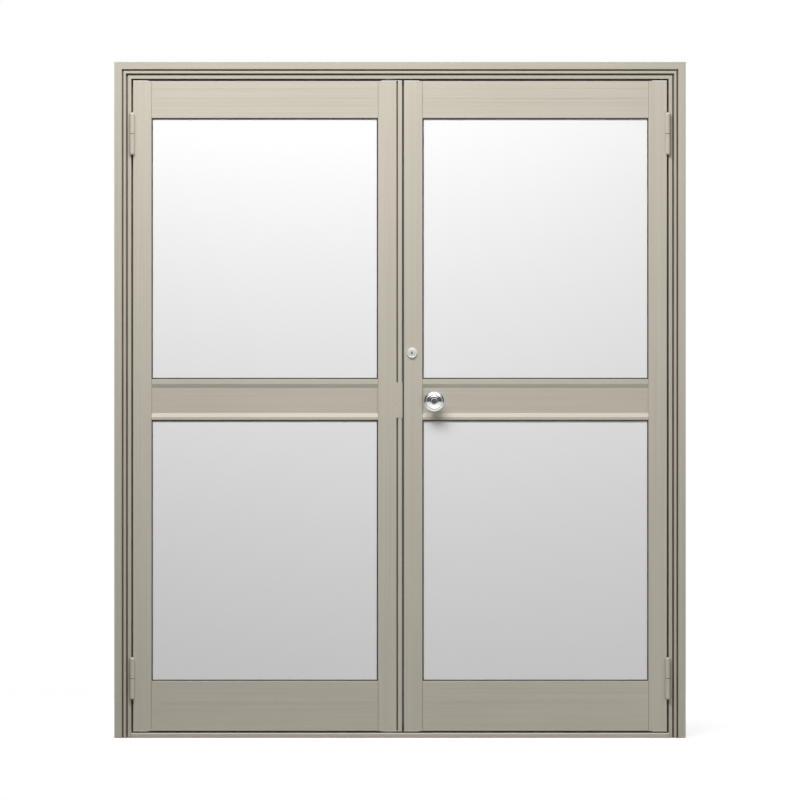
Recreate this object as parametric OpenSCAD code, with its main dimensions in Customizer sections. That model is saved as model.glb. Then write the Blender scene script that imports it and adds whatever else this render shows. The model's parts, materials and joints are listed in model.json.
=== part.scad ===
// Double-leaf glazed door of extruded aluminium, with its frame and without the wall.
// X runs to the right, Z up, and -Y towards the side that the leaves open to.
// The origin is on the underside of the sill, midway across the width and the depth.

/* [Frame] */
// Width over the frame
frame_w = 1690; // [1400:1:2100]
// Height over the frame
frame_h = 2000; // [1650:1:2400]
// Depth of the frame, front to back
frame_d = 70; // [58:1:90]
// Sight width of a jamb, as far as the leaf gap
jamb_w = 50; // [42:0.5:70]
// Width of the flat outer band of a jamb
band_w = 22; // [12:0.5:24]
// Width of the groove beside the outer band
groove_w = 5; // [3:0.5:7]
// Depth of that groove
groove_d = 9.5; // [4:0.5:10]
// Width of the raised nose inside the groove
nose_w = 7; // [6:0.5:9]
// How far the nose sits back from the outer band
nose_setback = 0.5; // [0:0.1:1]
// Width of the groove between the nose and the inner band
step_w = 6; // [4:0.5:7]
// Depth of that groove below the inner band
step_d = 6; // [2:0.5:6]
// How far the stop reaches past the jamb face
stop_w = 18; // [12:0.5:26]
// Height of the sill
sill_h = 14.8; // [10:0.1:30]
// Height of the upstand behind the leaves
upstand_h = 34; // [32:0.5:60]
// How far the sill stands out in front of the leaves
sill_nose = 4; // [2:0.5:5]
// Chamfer along the sill's front edge
sill_chamfer = 3; // [0.5:0.1:4]
// Thickness of the extrusion walls
wall = 2; // [1.4:0.1:2.4]

// Radius of the holes for the screws that hold a jamb to the wall
fixing_r = 2.75; // [2:0.05:4]
// Height of the lowest of those holes
fixing_low = 200; // [190:5:300]
// Drop from the frame top to the highest of them
fixing_drop = 300; // [80:5:320]

/* [Leaves] */
// Thickness of a leaf
leaf_t = 36; // [34:0.5:44]
// How far the leaf face sits back from the frame face
leaf_setback = 7; // [6:0.5:12]
// Gap at the hinge edge
hinge_gap = 5.3; // [4.6:0.1:8]
// Gap under the head
head_gap = 6.5; // [5:0.1:10]
// Gap over the sill
sill_gap = 5.9; // [4:0.1:10]
// Gap between the two leaves
meeting_gap = 5.9; // [5.5:0.1:9]
// Sight width of the stiles
stile_w = 54.6; // [48:0.1:80]
// Sight height of the top rail
top_rail_h = 109.7; // [60:0.1:200]
// Sight height of the middle rail
mid_rail_h = 121.3; // [112:0.1:170]
// Height of the middle rail's lower edge above the floor
mid_rail_z = 940.5; // [780:0.5:1150]
// Sight height of the bottom rail
bottom_rail_h = 147.9; // [80:0.1:260]
// Depth of the pocket that holds the glass
pocket = 10; // [9:0.5:14]
// Bevel beside the glass
bevel = 1.2; // [0.5:0.1:1.6]
// Chamfer on the outer edges of the extrusions
edge_c = 0.8; // [0.3:0.1:1.5]
// Depth of the recess in the middle rail's face
recess_d = 7; // [5:0.5:8]
// Height of the slopes above and below the recess
recess_slope = 12; // [10:0.5:16]
// Flat lip above the recess
upper_lip = 14.8; // [13:0.1:18]
// Flat lip below the recess
lower_lip = 8.5; // [8:0.1:9.5]
// Width of the fine grooves along the extrusions
reed_w = 1.4; // [0.8:0.1:2]
// Depth of the fine grooves
reed_d = 0.5; // [0.3:0.1:0.8]

/* [Glass] */
// Thickness of the glass
glass_t = 5; // [4:0.5:8]
// Setback of the glass behind the leaf face
glass_setback = 6; // [5:0.5:10]
// How far the glass reaches into its pocket
glass_in = 6.5; // [5:0.5:8]
// Width of gasket that shows
gasket_show = 4.6; // [3.5:0.1:8]
// Thickness of the inner gasket
gasket_t = 4; // [3:0.5:5]
// Wall of the glazing beads
bead_wall = 1.4; // [1:0.1:2]

/* [Meeting strip] */
// Face width of the meeting strip
strip_face = 11.8; // [10:0.1:16]
// Width of the groove between strip and stile
strip_groove = 4.5; // [3:0.1:7]
// Depth of that groove
strip_groove_d = 8; // [3:0.5:10]
// How far the soft seal stands off the strip
strip_seal = 2.8; // [1.5:0.1:3.2]

/* [Hinges] */
// Radius of the hinge barrels
barrel_r = 7.5; // [6:0.1:9]
// Clearance between barrel and leaf face
barrel_clear = 0.8; // [0.5:0.1:2]
// Length of one knuckle
knuckle_l = 60; // [45:1:80]
// Height of the lower hinge's joint
hinge_low_z = 176; // [140:1:400]
// Drop from the frame top to the upper hinge's joint
hinge_high_drop = 212.4; // [180:0.1:450]
// Radius of the hinge pins
pin_r = 4; // [3:0.1:5]
// Thickness of the hinge plates
plate_t = 2; // [1.5:0.1:2.2]
// Depth of the hinge plates inside the gap
plate_d = 26; // [22:1:30]
// Thickness of the bearing washers
washer_t = 1.5; // [1:0.1:3]

/* [Knob and latch] */
// Gap between the knob's rose and the stile beside it
knob_gap = 4.6; // [2:0.1:40]
// Height of the knob above the middle rail's lower edge
knob_up = 55.7; // [52:0.1:62]
// Radius of the knob's head
knob_r = 24.5; // [20:0.5:28]
// Radius of the knob's neck
neck_r = 11; // [10:0.5:13]
// Projection of the knob from its seat
knob_l = 60; // [52:1:75]
// Radius of the roses behind the knobs
rose_r = 30; // [27:0.5:32]
// Height of the roses
rose_h = 7; // [4:0.5:10]
// Radius of the spindle
spindle_r = 7; // [6:0.5:8]
// Radius of the key plugs
plug_r = 7; // [6:0.5:8]
// Throw of the latch bolt
latch_throw = 13; // [9:0.5:13]
// Radius of the latch case
latch_case_r = 11; // [10.5:0.5:11.5]

/* [Deadlock] */
// Distance from the leaf edge to the deadlock cylinder
dead_backset = 23.4; // [20:0.1:26]
// Height of the cylinder above the middle rail's lower edge
dead_up = 198.5; // [170:0.5:300]
// Radius of the cylinder's ring
ring_r = 15.25; // [14:0.25:17]
// How far the ring stands off the stile
ring_h = 7; // [4:0.5:10]
// Throw of the deadbolt
dead_throw = 17; // [12:0.5:17]

/* [Flush bolts] */
// Radius of the bolt rods
rod_r = 5; // [4:0.5:6]
// Distance from the leaf end to the middle of the bolt's plate
bolt_reach = 240; // [150:5:400]
// Travel of the bolts
bolt_throw = 13; // [10:0.5:14]

/* [Fits] */
// Radial clearance of pins and shafts that turn
running = 0.05; // [0.02:0.01:0.1]
// Radial clearance of pins that stay put
seated = 0.02; // [0.01:0.01:0.05]
// Clearance round pieces that slide or slip in
slip = 0.2; // [0.15:0.05:0.4]
// Clearance between curved pieces that must not touch
apart = 0.3; // [0.3:0.05:0.6]

/* [Hidden] */

$fn = 72;
over = 1; // how far a cutting shape runs past the surface that it cuts

metal = [0.74, 0.71, 0.65];
metal_dark = [0.62, 0.6, 0.54];
black = [0.12, 0.12, 0.11];
clear_glass = [0.9, 0.93, 0.92, 0.8];
bright = [0.8, 0.8, 0.82];
plastic = [0.85, 0.84, 0.8];

// Depth positions
front_y = -frame_d / 2;
back_y = frame_d / 2;
leaf_y0 = front_y + leaf_setback;
leaf_y1 = leaf_y0 + leaf_t;
seal_gap = 6;
stop_y = leaf_y1 + seal_gap;
glass_y0 = leaf_y0 + glass_setback;
glass_y1 = glass_y0 + glass_t;
bead_y = glass_y1 + gasket_t;
face_y = leaf_y0 + recess_d;
lock_y = leaf_y0 + 21.5;
rod_y = leaf_y0 + leaf_t / 2;

// Width positions, measured outwards from the middle
opening_x = frame_w / 2 - jamb_w;
leaf_x = opening_x - hinge_gap;
strip_x = strip_face / 2;
left_edge = strip_x + strip_groove;
right_edge = strip_x + meeting_gap;
box_w = stile_w - pocket;

// Heights
opening_z = frame_h - jamb_w;
leaf_z0 = sill_h + sill_gap;
leaf_z1 = opening_z - head_gap;
leaf_h = leaf_z1 - leaf_z0;
top_rail_z = leaf_z1 - top_rail_h;
mid_top_z = mid_rail_z + mid_rail_h;
bottom_top_z = leaf_z0 + bottom_rail_h;
cap_t = 1.5;
joint_gap = 0.2; // between the cut ends of seals and beads

// Screws through the jambs
fixing_y = leaf_y0 + 23;
fixing_z = [for (k = [0:3]) fixing_low + k * (frame_h - fixing_low - fixing_drop) / 3];

// Hinges
hinge_x = opening_x - hinge_gap / 2;
hinge_y = leaf_y0 - barrel_r - barrel_clear;
hinge_z = [hinge_low_z, frame_h - hinge_high_drop];
pin_l = knuckle_l - 14;
screw_y = leaf_y0 + plate_d * 0.6;
screw_r = 2;
screw_head_r = 4;
screw_l = 14;
screw_rows = [knuckle_l * 0.28, knuckle_l * 0.78];

// Locks
backset = stile_w + knob_gap + rose_r;
knob_x = right_edge + backset;
knob_z = mid_rail_z + knob_up;
dead_x = right_edge + dead_backset;
dead_z = mid_rail_z + dead_up;
rod_x = -(left_edge + box_w / 2);
face_t = 1.5;
strike_t = 1.2;
strike_h = 105;
strike_up = 3.3;
latch_w = 11;
latch_h = 15;
latch_body_l = latch_throw + 27;
dead_w = 12;
dead_h = 22;
dead_case_h = 70;
tail_r = 2.4;
plug_l = 28;
button_r = 6;
plug_seat = knob_l - plug_l;
button_seat = 20; // how deep the turn button and its bore go into the inner knob
spindle_in = 20; // how far the spindle reaches into the inner knob
cam_gap = 4; // how far the deadlock's stems stop inside the leaf's inner face
strike_leg = 31;
edge_seal_y0 = leaf_y0 + 1;
edge_seal_y1 = leaf_y0 + 5;
seal_apart = 0.2; // between the tips of the two seals on the meeting edges
bolt_room = 1.5; // room all round a bolt in the hole that it is thrown into
hub_l = 34;
hub_h = 28;
hub_d = 23;
cylinder_r = 12;
dead_case_d = 16;
deadlock_rose_h = 4;
tail_bore_r = tail_r + 1;

// Flush bolts
bolt_case_z = [leaf_z0 + bolt_reach, leaf_z1 - bolt_reach];
bolt_plate_h = 140;
bolt_plate_w = 24;
bolt_plate_t = 1.6;
guide_near = 45;
guide_far = 60;
guide_w = 18;
button_w = 10;
button_h = 16;

// Distances of the fine grooves from a stile's outer edge and from a rail's lower edge
stile_reeds = [13, 28.5, 44];
top_reeds = [35.5, 46, 57.5, 86];
mid_reeds = [29.5, 38.5, 59, 71, 84];
bottom_reeds = [15, 26.5, 62, 77, 83, 112.5, 124];

// Puts a right-hand piece on the right (1) or mirrors it to the left (-1)
module side(s) {
    if (s > 0) children();
    else mirror([1, 0, 0]) children();
}

// Box from its low corner to its high corner
module block(low, high) {
    translate(low) cube(high - low);
}

// Turns a shape that stands on Z so that it points towards the front
module to_front(x, y, z) {
    translate([x, y, z]) rotate([90, 0, 0]) children();
}

// The same, towards the back
module to_back(x, y, z) {
    translate([x, y, z]) rotate([-90, 0, 0]) children();
}

// Carries a (depth, height) outline along X from x0 to x1
module along_x(x0, x1) {
    translate([x0, 0, 0]) rotate([90, 0, 90]) linear_extrude(x1 - x0) children();
}

// ---- Frame ----

// Section of jambs and head: distance inwards from the outer edge, then depth
module frame_section() {
    nose_0 = band_w + groove_w;
    nose_1 = nose_0 + nose_w;
    inner_0 = nose_1 + step_w;
    floor_y = leaf_y0 + step_d;
    difference() {
        polygon([[0, front_y + edge_c], [edge_c, front_y], [band_w - edge_c, front_y],
            [band_w, front_y + edge_c], [band_w, front_y + groove_d], [nose_0, front_y + groove_d],
            [nose_0, front_y + nose_setback + edge_c], [nose_0 + edge_c, front_y + nose_setback],
            [nose_1, front_y + nose_setback], [nose_1, floor_y], [inner_0, floor_y],
            [inner_0, leaf_y0], [jamb_w - edge_c, leaf_y0], [jamb_w, leaf_y0 + edge_c],
            [jamb_w, back_y], [0, back_y]]);
        translate([wall, front_y + wall]) square([band_w - 2 * wall, frame_d - 2 * wall]);
        translate([wall, floor_y + wall])
            square([jamb_w - 2 * wall, back_y - floor_y - 2 * wall]);
        translate([inner_0 + wall, leaf_y0 + wall])
            square([jamb_w - inner_0 - 2 * wall, step_d + over]);
    }
}

// Hole for a flush bolt between two heights; square, so that the round rod cannot bind in it
module bolt_hole(z0, z1) {
    half = rod_r + bolt_room;
    block([rod_x - half, rod_y - half, z0], [rod_x + half, rod_y + half, z1]);
}

module jamb(s) {
    reach = jamb_w + 20;
    side(s) difference() {
        translate([frame_w / 2, 0, 0]) mirror([1, 0, 0]) difference() {
            linear_extrude(frame_h) frame_section();
            translate([0, frame_d, 0]) rotate([90, 0, 0]) linear_extrude(2 * frame_d)
                polygon([[-over, frame_h + over], [reach, frame_h - reach], [reach, frame_h + over]]);
        }
        for (z = hinge_z)
            for (row = screw_rows)
                translate([opening_x - over, screw_y, z - row]) rotate([0, 90, 0])
                    cylinder(h = wall + 2 * over, r = screw_r + running);
        for (z = fixing_z)
            translate([opening_x - over, fixing_y, z]) rotate([0, 90, 0])
                cylinder(h = jamb_w + 2 * over, r = fixing_r);
    }
}

module frame_jamb_left() {
    color(metal) jamb(-1);
}

module frame_jamb_right() {
    color(metal) jamb(1);
}

module frame_head() {
    reach = jamb_w + 20;
    color(metal) difference() {
        translate([-frame_w / 2, 0, frame_h]) rotate([0, 90, 0]) linear_extrude(frame_w)
            frame_section();
        for (s = [-1, 1])
            side(s) translate([frame_w / 2, frame_d, frame_h]) rotate([90, 0, 0])
                linear_extrude(2 * frame_d)
                    polygon([[over, over], [over, -reach], [-reach, -reach]]);
        bolt_hole(opening_z - over, opening_z + wall + over);
    }
}

module frame_sill() {
    sill_y0 = leaf_y0 - sill_nose;
    color(metal_dark) difference() {
        along_x(-opening_x, opening_x) difference() {
            polygon([[sill_y0, 0], [back_y, 0], [back_y, sill_h - edge_c], [back_y - edge_c, sill_h],
                [sill_y0 + sill_chamfer, sill_h], [sill_y0, sill_h - sill_chamfer]]);
            translate([sill_y0 + wall, wall])
                square([back_y - sill_y0 - 2 * wall, sill_h - 2 * wall - sill_chamfer / 2]);
        }
        bolt_hole(wall + over, sill_h + over);
    }
}

// Section of a hollow stop w wide: distance inwards from the frame's inner face, then depth
module stop_section(w) {
    difference() {
        polygon([[0, stop_y], [w - edge_c, stop_y], [w, stop_y + edge_c], [w, back_y - edge_c],
            [w - edge_c, back_y], [0, back_y]]);
        translate([wall, stop_y + wall]) square([w - 2 * wall, back_y - stop_y - 2 * wall]);
    }
}

// Four stops fixed inside the frame: one up each jamb, one under the head, one on the sill
module frame_stops() {
    half = opening_x - stop_w - joint_gap;
    color(metal) {
        for (s = [-1, 1])
            side(s) translate([opening_x, 0, sill_h]) mirror([1, 0, 0])
                linear_extrude(opening_z - sill_h) stop_section(stop_w);
        translate([-half, 0, opening_z]) rotate([0, 90, 0])
            linear_extrude(2 * half) stop_section(stop_w);
        translate([half, 0, sill_h]) rotate([0, -90, 0])
            linear_extrude(2 * half) stop_section(upstand_h - sill_h);
    }
}

// Cast angles inside the two mitred corners and cast blocks that close the feet of the jambs
module frame_corner_cleats() {
    arm = 70;
    thick = 8;
    foot_h = 40;
    y0 = leaf_y0 + step_d + wall + slip;
    y1 = back_y - wall - slip;
    edge = wall + slip;
    color(metal_dark) for (s = [-1, 1])
        side(s) translate([frame_w / 2, 0, 0]) union() {
            block([-edge - arm, y0, frame_h - edge - thick], [-edge, y1, frame_h - edge]);
            block([-edge - thick, y0, frame_h - edge - arm], [-edge, y1, frame_h - edge]);
            block([edge - jamb_w, y0, 0], [-edge, y1, foot_h]);
        }
}

// Soft seals on the stops behind the leaves
module frame_seals() {
    seal_y0 = leaf_y1 + 0.5;
    a = 5;
    b = 12;
    color(black) {
        for (s = [-1, 1])
            side(s) block([opening_x - b, seal_y0, upstand_h], [opening_x - a, stop_y, opening_z - a]);
        block([-opening_x + b + joint_gap, seal_y0, opening_z - b],
            [opening_x - b - joint_gap, stop_y, opening_z - a]);
        block([-opening_x + stop_w, seal_y0, upstand_h - 9], [opening_x - stop_w, stop_y, upstand_h - 2]);
    }
}

// Plates round the flush-bolt holes in head and sill
module bolt_keepers() {
    half_w = 14;
    half_d = 10;
    t = 1.2;
    color(bright) for (z = [sill_h, opening_z - t])
        difference() {
            block([rod_x - half_w, rod_y - half_d, z], [rod_x + half_w, rod_y + half_d, z + t]);
            bolt_hole(z - over, z + t + over);
        }
}

// ---- Hinges ----

// Knuckle standing on z = 0 with a domed top
module knuckle(bore_r, bore_l) {
    dome_r = barrel_r * 1.25;
    difference() {
        intersection() {
            cylinder(h = knuckle_l, r = barrel_r);
            translate([0, 0, knuckle_l - dome_r])
                union() {
                    sphere(r = dome_r);
                    translate([0, 0, -knuckle_l]) cylinder(h = knuckle_l, r = dome_r);
                }
        }
        translate([0, 0, -over]) cylinder(h = bore_l + over, r = bore_r);
    }
}

// Countersunk screw along +X from x = 0, or the hole that it fits when grow is above 0
module hinge_screw(grow) {
    rotate([0, 90, 0]) union() {
        cylinder(h = screw_l, r = screw_r + grow);
        cylinder(h = plate_t, r1 = screw_head_r + grow, r2 = screw_r + grow);
    }
}

// Right-hand hinge half on the leaf, pointing up from its joint
module hinge_leaf(z) {
    translate([0, 0, z + washer_t / 2 + running]) difference() {
        union() {
            translate([hinge_x, hinge_y, 0]) knuckle(pin_r + running, pin_l + 2);
            difference() {
                block([leaf_x, hinge_y, 0], [leaf_x + plate_t, leaf_y0 + plate_d, knuckle_l - 6]);
                translate([hinge_x, hinge_y, -over]) cylinder(h = knuckle_l, r = barrel_r - 1);
            }
        }
        for (row = screw_rows)
            translate([leaf_x + plate_t, screw_y, row - washer_t / 2]) mirror([1, 0, 0])
                hinge_screw(running);
    }
}

// Right-hand hinge half on the frame, pointing down from its joint
module hinge_base(z) {
    translate([0, 0, z - washer_t / 2]) difference() {
        union() {
            translate([hinge_x, hinge_y, 0]) mirror([0, 0, 1]) knuckle(pin_r + seated, pin_l + 1);
            difference() {
                block([opening_x - plate_t, hinge_y, 6 - knuckle_l], [opening_x, leaf_y0 + plate_d, 0]);
                translate([hinge_x, hinge_y, -knuckle_l]) cylinder(h = knuckle_l + over, r = barrel_r - 1);
            }
        }
        for (row = screw_rows)
            translate([opening_x - plate_t, screw_y, washer_t / 2 - row]) hinge_screw(running);
    }
}

module hinge_bases() {
    color(metal) for (s = [-1, 1]) side(s) for (z = hinge_z) hinge_base(z);
}

module hinge_pins() {
    color(bright) for (s = [-1, 1])
        side(s) for (z = hinge_z)
            translate([hinge_x, hinge_y, z - pin_l]) cylinder(h = 2 * pin_l, r = pin_r);
}

module hinge_washers() {
    color(black) for (s = [-1, 1])
        side(s) for (z = hinge_z)
            translate([hinge_x, hinge_y, z - washer_t / 2]) difference() {
                cylinder(h = washer_t, r = barrel_r - 0.6);
                translate([0, 0, -over]) cylinder(h = washer_t + 2 * over, r = pin_r + apart);
            }
}

module hinge_base_screws() {
    color(bright) for (s = [-1, 1])
        side(s) for (z = hinge_z) for (row = screw_rows)
            translate([opening_x - plate_t, screw_y, z - row]) hinge_screw(0);
}

module hinge_leaves(s) {
    color(metal) side(s) for (z = hinge_z) hinge_leaf(z);
}

module leaf_screws(s) {
    color(bright) side(s) for (z = hinge_z) for (row = screw_rows)
        translate([leaf_x + plate_t, screw_y, z + running + row]) mirror([1, 0, 0]) hinge_screw(0);
}

// ---- Leaf extrusions ----

// Section of a stile: distance inwards from its outer edge, then depth
module stile_section() {
    translate([0, leaf_y0]) difference() {
        polygon([[edge_c, 0], [stile_w - bevel, 0], [stile_w, bevel], [stile_w, wall],
            [box_w, wall], [box_w, leaf_t], [edge_c, leaf_t], [0, leaf_t - edge_c], [0, edge_c]]);
        translate([wall, wall]) square([box_w - 2 * wall, leaf_t - 2 * wall]);
        for (v = stile_reeds)
            translate([v - reed_w / 2, -over]) square([reed_w, reed_d + over]);
    }
}

module hinge_stile() {
    difference() {
        translate([leaf_x, 0, leaf_z0]) mirror([1, 0, 0]) linear_extrude(leaf_h) stile_section();
        for (z = hinge_z)
            for (row = screw_rows)
                translate([leaf_x - wall - over, screw_y, z + running + row]) rotate([0, 90, 0])
                    cylinder(h = wall + 2 * over, r = screw_r + running);
    }
}

module meeting_stile(edge) {
    translate([edge, 0, leaf_z0]) linear_extrude(leaf_h) stile_section();
}

// Lower end of a rail's outline, with or without a glass pocket
function rail_foot(has_pocket) = has_pocket
    ? [[0, bevel], [bevel, 0], [wall, 0], [wall, pocket], [leaf_t, pocket]]
    : [[0, edge_c], [edge_c, 0], [leaf_t - edge_c, 0], [leaf_t, edge_c]];

// Upper end of a rail's outline
function rail_head(h, has_pocket) = has_pocket
    ? [[leaf_t, h - pocket], [wall, h - pocket], [wall, h], [bevel, h], [0, h - bevel]]
    : [[leaf_t, h - edge_c], [leaf_t - edge_c, h], [edge_c, h], [0, h - edge_c]];

// Hollow plain rail, from its lower edge, as (depth, height)
module plain_rail_section(h, foot_pocket, head_pocket, reeds) {
    low = foot_pocket ? pocket : 0;
    high = head_pocket ? h - pocket : h;
    difference() {
        polygon(concat(rail_foot(foot_pocket), rail_head(h, head_pocket)));
        translate([wall, low + wall]) square([leaf_t - 2 * wall, high - low - 2 * wall]);
        for (z = reeds)
            translate([-over, z - reed_w / 2]) square([reed_d + over, reed_w]);
    }
}

// Hollow middle rail with its recessed face between two slopes
module mid_rail_section() {
    h = mid_rail_h;
    lean = wall * norm([recess_d, recess_slope]) / recess_slope;
    inner = recess_d + wall;
    low = pocket + wall;
    high = h - pocket - wall;
    fall = recess_slope / recess_d;
    difference() {
        polygon(concat(rail_foot(true), rail_head(h, true),
            [[0, h - upper_lip], [recess_d, h - upper_lip - recess_slope],
                [recess_d, lower_lip + recess_slope], [0, lower_lip]]));
        polygon([[(low - lower_lip) / fall + lean, low], [leaf_t - wall, low], [leaf_t - wall, high],
            [wall, high], [wall, h - upper_lip + (lean - wall) * fall],
            [inner, h - upper_lip - (inner - lean) * fall], [inner, lower_lip + (inner - lean) * fall]]);
        for (z = mid_reeds)
            translate([recess_d - over, z - reed_w / 2]) square([reed_d + over, reed_w]);
    }
}

// Cuts a rail to length between the stiles and notches its face over their lips
module fitted_rail(edge, z) {
    x0 = edge + box_w;
    x1 = leaf_x - box_w;
    difference() {
        along_x(x0, x1) translate([leaf_y0, z]) children();
        for (x = [x0 - over, x1 - pocket])
            block([x, leaf_y0 - over, leaf_z0 - over],
                [x + pocket + over, leaf_y0 + wall, leaf_z1 + over]);
    }
}

module top_rail(edge) {
    fitted_rail(edge, top_rail_z) plain_rail_section(top_rail_h, true, false, top_reeds);
}

module mid_rail(edge) {
    fitted_rail(edge, mid_rail_z) mid_rail_section();
}

module bottom_rail(edge) {
    fitted_rail(edge, leaf_z0) plain_rail_section(bottom_rail_h, false, true, bottom_reeds);
}

// Channel bracket inside a rail's end: web on the stile, flanges in the rail
module bracket(x, out, z0, z1) {
    y0 = leaf_y0 + recess_d + wall + slip;
    y1 = leaf_y1 - wall - slip;
    long = 40;
    thick = 4;
    translate([x, 0, 0]) mirror([out < 0 ? 1 : 0, 0, 0]) difference() {
        block([0, y0, z0 + slip], [long, y1, z1 - slip]);
        block([thick, y0 - over, z0 + slip + thick], [long + over, y1 + over, z1 - slip - thick]);
    }
}

module rail_brackets(edge) {
    spans = [[leaf_z0 + wall, bottom_top_z - pocket - wall],
        [mid_rail_z + lower_lip + recess_slope, mid_top_z - upper_lip - recess_slope],
        [top_rail_z + pocket + wall, leaf_z1 - wall]];
    for (span = spans) {
        bracket(edge + box_w, 1, span[0], span[1]);
        bracket(leaf_x - box_w, -1, span[0], span[1]);
    }
}

// ---- Glazing ----

// Sight openings: the lower pane's and the upper pane's lowest and highest sight lines
panes = [[bottom_top_z, mid_rail_z], [mid_top_z, top_rail_z]];

module pane(edge, n) {
    block([edge + stile_w - glass_in, glass_y0, panes[n][0] - glass_in],
        [leaf_x - stile_w + glass_in, glass_y1, panes[n][1] + glass_in]);
}

// Four strips round pane n, from hold mm outside the sight line to show mm inside it
module strips(edge, n, y0, y1, hold, show) {
    x0 = edge + stile_w;
    x1 = leaf_x - stile_w;
    z0 = panes[n][0];
    z1 = panes[n][1];
    for (x = [x0 - hold, x1 - show])
        block([x, y0, z0 - hold], [x + hold + show, y1, z1 + hold]);
    for (z = [z0 - hold, z1 - show])
        block([x0 + show + joint_gap, y0, z], [x1 - show - joint_gap, y1, z + hold + show]);
}

module gaskets(edge) {
    hold = glass_in - 0.5;
    for (n = [0, 1]) {
        strips(edge, n, leaf_y0 + wall, glass_y0, hold, gasket_show);
        strips(edge, n, glass_y1, bead_y, hold, gasket_show);
    }
}

// Hollow bead section: across the pocket, then depth
module bead_section() {
    difference() {
        translate([0, bead_y]) square([pocket, leaf_y1 - bead_y]);
        translate([bead_wall, bead_y + bead_wall])
            square([pocket - 2 * bead_wall, leaf_y1 - bead_y - 2 * bead_wall]);
    }
}

module beads(edge) {
    x0 = edge + box_w;
    x1 = leaf_x - box_w;
    for (n = [0, 1]) {
        z0 = panes[n][0] - pocket;
        z1 = panes[n][1] + pocket;
        translate([x0, 0, z0]) linear_extrude(z1 - z0) bead_section();
        translate([x1, 0, z0]) mirror([1, 0, 0]) linear_extrude(z1 - z0) bead_section();
        for (z = [z0, z1])
            translate([x0 + pocket + joint_gap, 0, z]) mirror([0, 0, z == z0 ? 0 : 1])
                along_x(0, x1 - x0 - 2 * (pocket + joint_gap))
                    difference() {
                        translate([bead_y, 0]) square([leaf_y1 - bead_y, pocket]);
                        translate([bead_y + bead_wall, bead_wall])
                            square([leaf_y1 - bead_y - 2 * bead_wall, pocket - 2 * bead_wall]);
                    }
    }
}

module setting_blocks(edge) {
    long = 40;
    quarter = (leaf_x - edge) / 4;
    for (n = [0, 1])
        for (x = [edge + quarter, leaf_x - quarter])
            block([x - long / 2, glass_y0 - 1, panes[n][0] - pocket],
                [x + long / 2, glass_y1 + 1, panes[n][0] - glass_in]);
}

// ---- End caps ----

// Cap on one end of a stile, standing on z = 0 at the leaf's end
module stile_cap(rod_hole) {
    plug = 8;
    difference() {
        union() {
            block([0, leaf_y0, 0], [box_w, leaf_y1, cap_t]);
            block([wall + slip, leaf_y0 + wall + slip, -plug],
                [box_w - wall - slip, leaf_y1 - wall - slip, 0]);
        }
        if (rod_hole)
            translate([box_w / 2, rod_y, -plug - over])
                cylinder(h = plug + cap_t + 2 * over, r = rod_r + apart);
    }
}

module end_caps(edge, rod_hole) {
    for (end = [0, 1])
        translate([0, 0, end == 0 ? leaf_z0 : leaf_z1]) mirror([0, 0, end == 0 ? 1 : 0]) {
            translate([edge, 0, 0]) stile_cap(rod_hole);
            translate([leaf_x, 0, 0]) mirror([1, 0, 0]) stile_cap(false);
        }
}

// ---- Left leaf ----

module left_hinge_stile() {
    color(metal) side(-1) hinge_stile();
}

module left_meeting_stile() {
    color(metal) difference() {
        side(-1) meeting_stile(left_edge);
        for (z = bolt_case_z)
            block([rod_x - guide_w / 2 - slip, leaf_y1 - wall - over, z - guide_far - slip],
                [rod_x + guide_w / 2 + slip, leaf_y1 + over, z + guide_far + slip]);
    }
}

module left_top_rail() {
    color(metal) side(-1) top_rail(left_edge);
}

module left_mid_rail() {
    color(metal) side(-1) mid_rail(left_edge);
}

module left_bottom_rail() {
    color(metal) side(-1) bottom_rail(left_edge);
}

module left_rail_brackets() {
    color(metal_dark) side(-1) rail_brackets(left_edge);
}

module left_upper_glass() {
    color(clear_glass) side(-1) pane(left_edge, 1);
}

module left_lower_glass() {
    color(clear_glass) side(-1) pane(left_edge, 0);
}

module left_gaskets() {
    color(black) side(-1) gaskets(left_edge);
}

module left_beads() {
    color(metal) side(-1) beads(left_edge);
}

module left_setting_blocks() {
    color(black) side(-1) setting_blocks(left_edge);
}

module left_end_caps() {
    color(plastic) {
        side(-1) end_caps(left_edge, true);
        for (z = [leaf_z0 - cap_t, leaf_z1])
            block([-left_edge + slip, leaf_y0, z], [strip_x, leaf_y1, z + cap_t]);
    }
}

module left_hinge_leaves() {
    hinge_leaves(-1);
}

module left_hinge_screws() {
    leaf_screws(-1);
}

// Hollow strip on the left leaf's meeting edge, with pockets for the latch and the deadbolt
module meeting_strip() {
    x0 = -left_edge;
    floor_y = leaf_y0 + strip_groove_d;
    color(metal) difference() {
        translate([0, 0, leaf_z0]) linear_extrude(leaf_h) difference() {
            polygon([[x0, floor_y], [-strip_x, floor_y], [-strip_x, leaf_y0 + edge_c],
                [-strip_x + edge_c, leaf_y0], [strip_x - edge_c, leaf_y0],
                [strip_x, leaf_y0 + edge_c], [strip_x, leaf_y1 - edge_c],
                [strip_x - edge_c, leaf_y1], [x0, leaf_y1]]);
            translate([x0 + wall, floor_y + wall])
                square([strip_x - x0 - 2 * wall, leaf_y1 - floor_y - 2 * wall]);
            translate([wall - strip_x, leaf_y0 + wall])
                square([strip_face - 2 * wall, leaf_t - 2 * wall]);
        }
        bolt_pocket(latch_w, latch_h, knob_z);
        bolt_pocket(dead_w, dead_h, dead_z);
    }
}

// Hole in the strip's edge for a bolt w deep and h high
module bolt_pocket(w, h, z) {
    block([strip_x - wall - over, lock_y - w / 2 - bolt_room, z - h / 2 - bolt_room],
        [strip_x + strike_leg, lock_y + w / 2 + bolt_room, z + h / 2 + bolt_room]);
}

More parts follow.
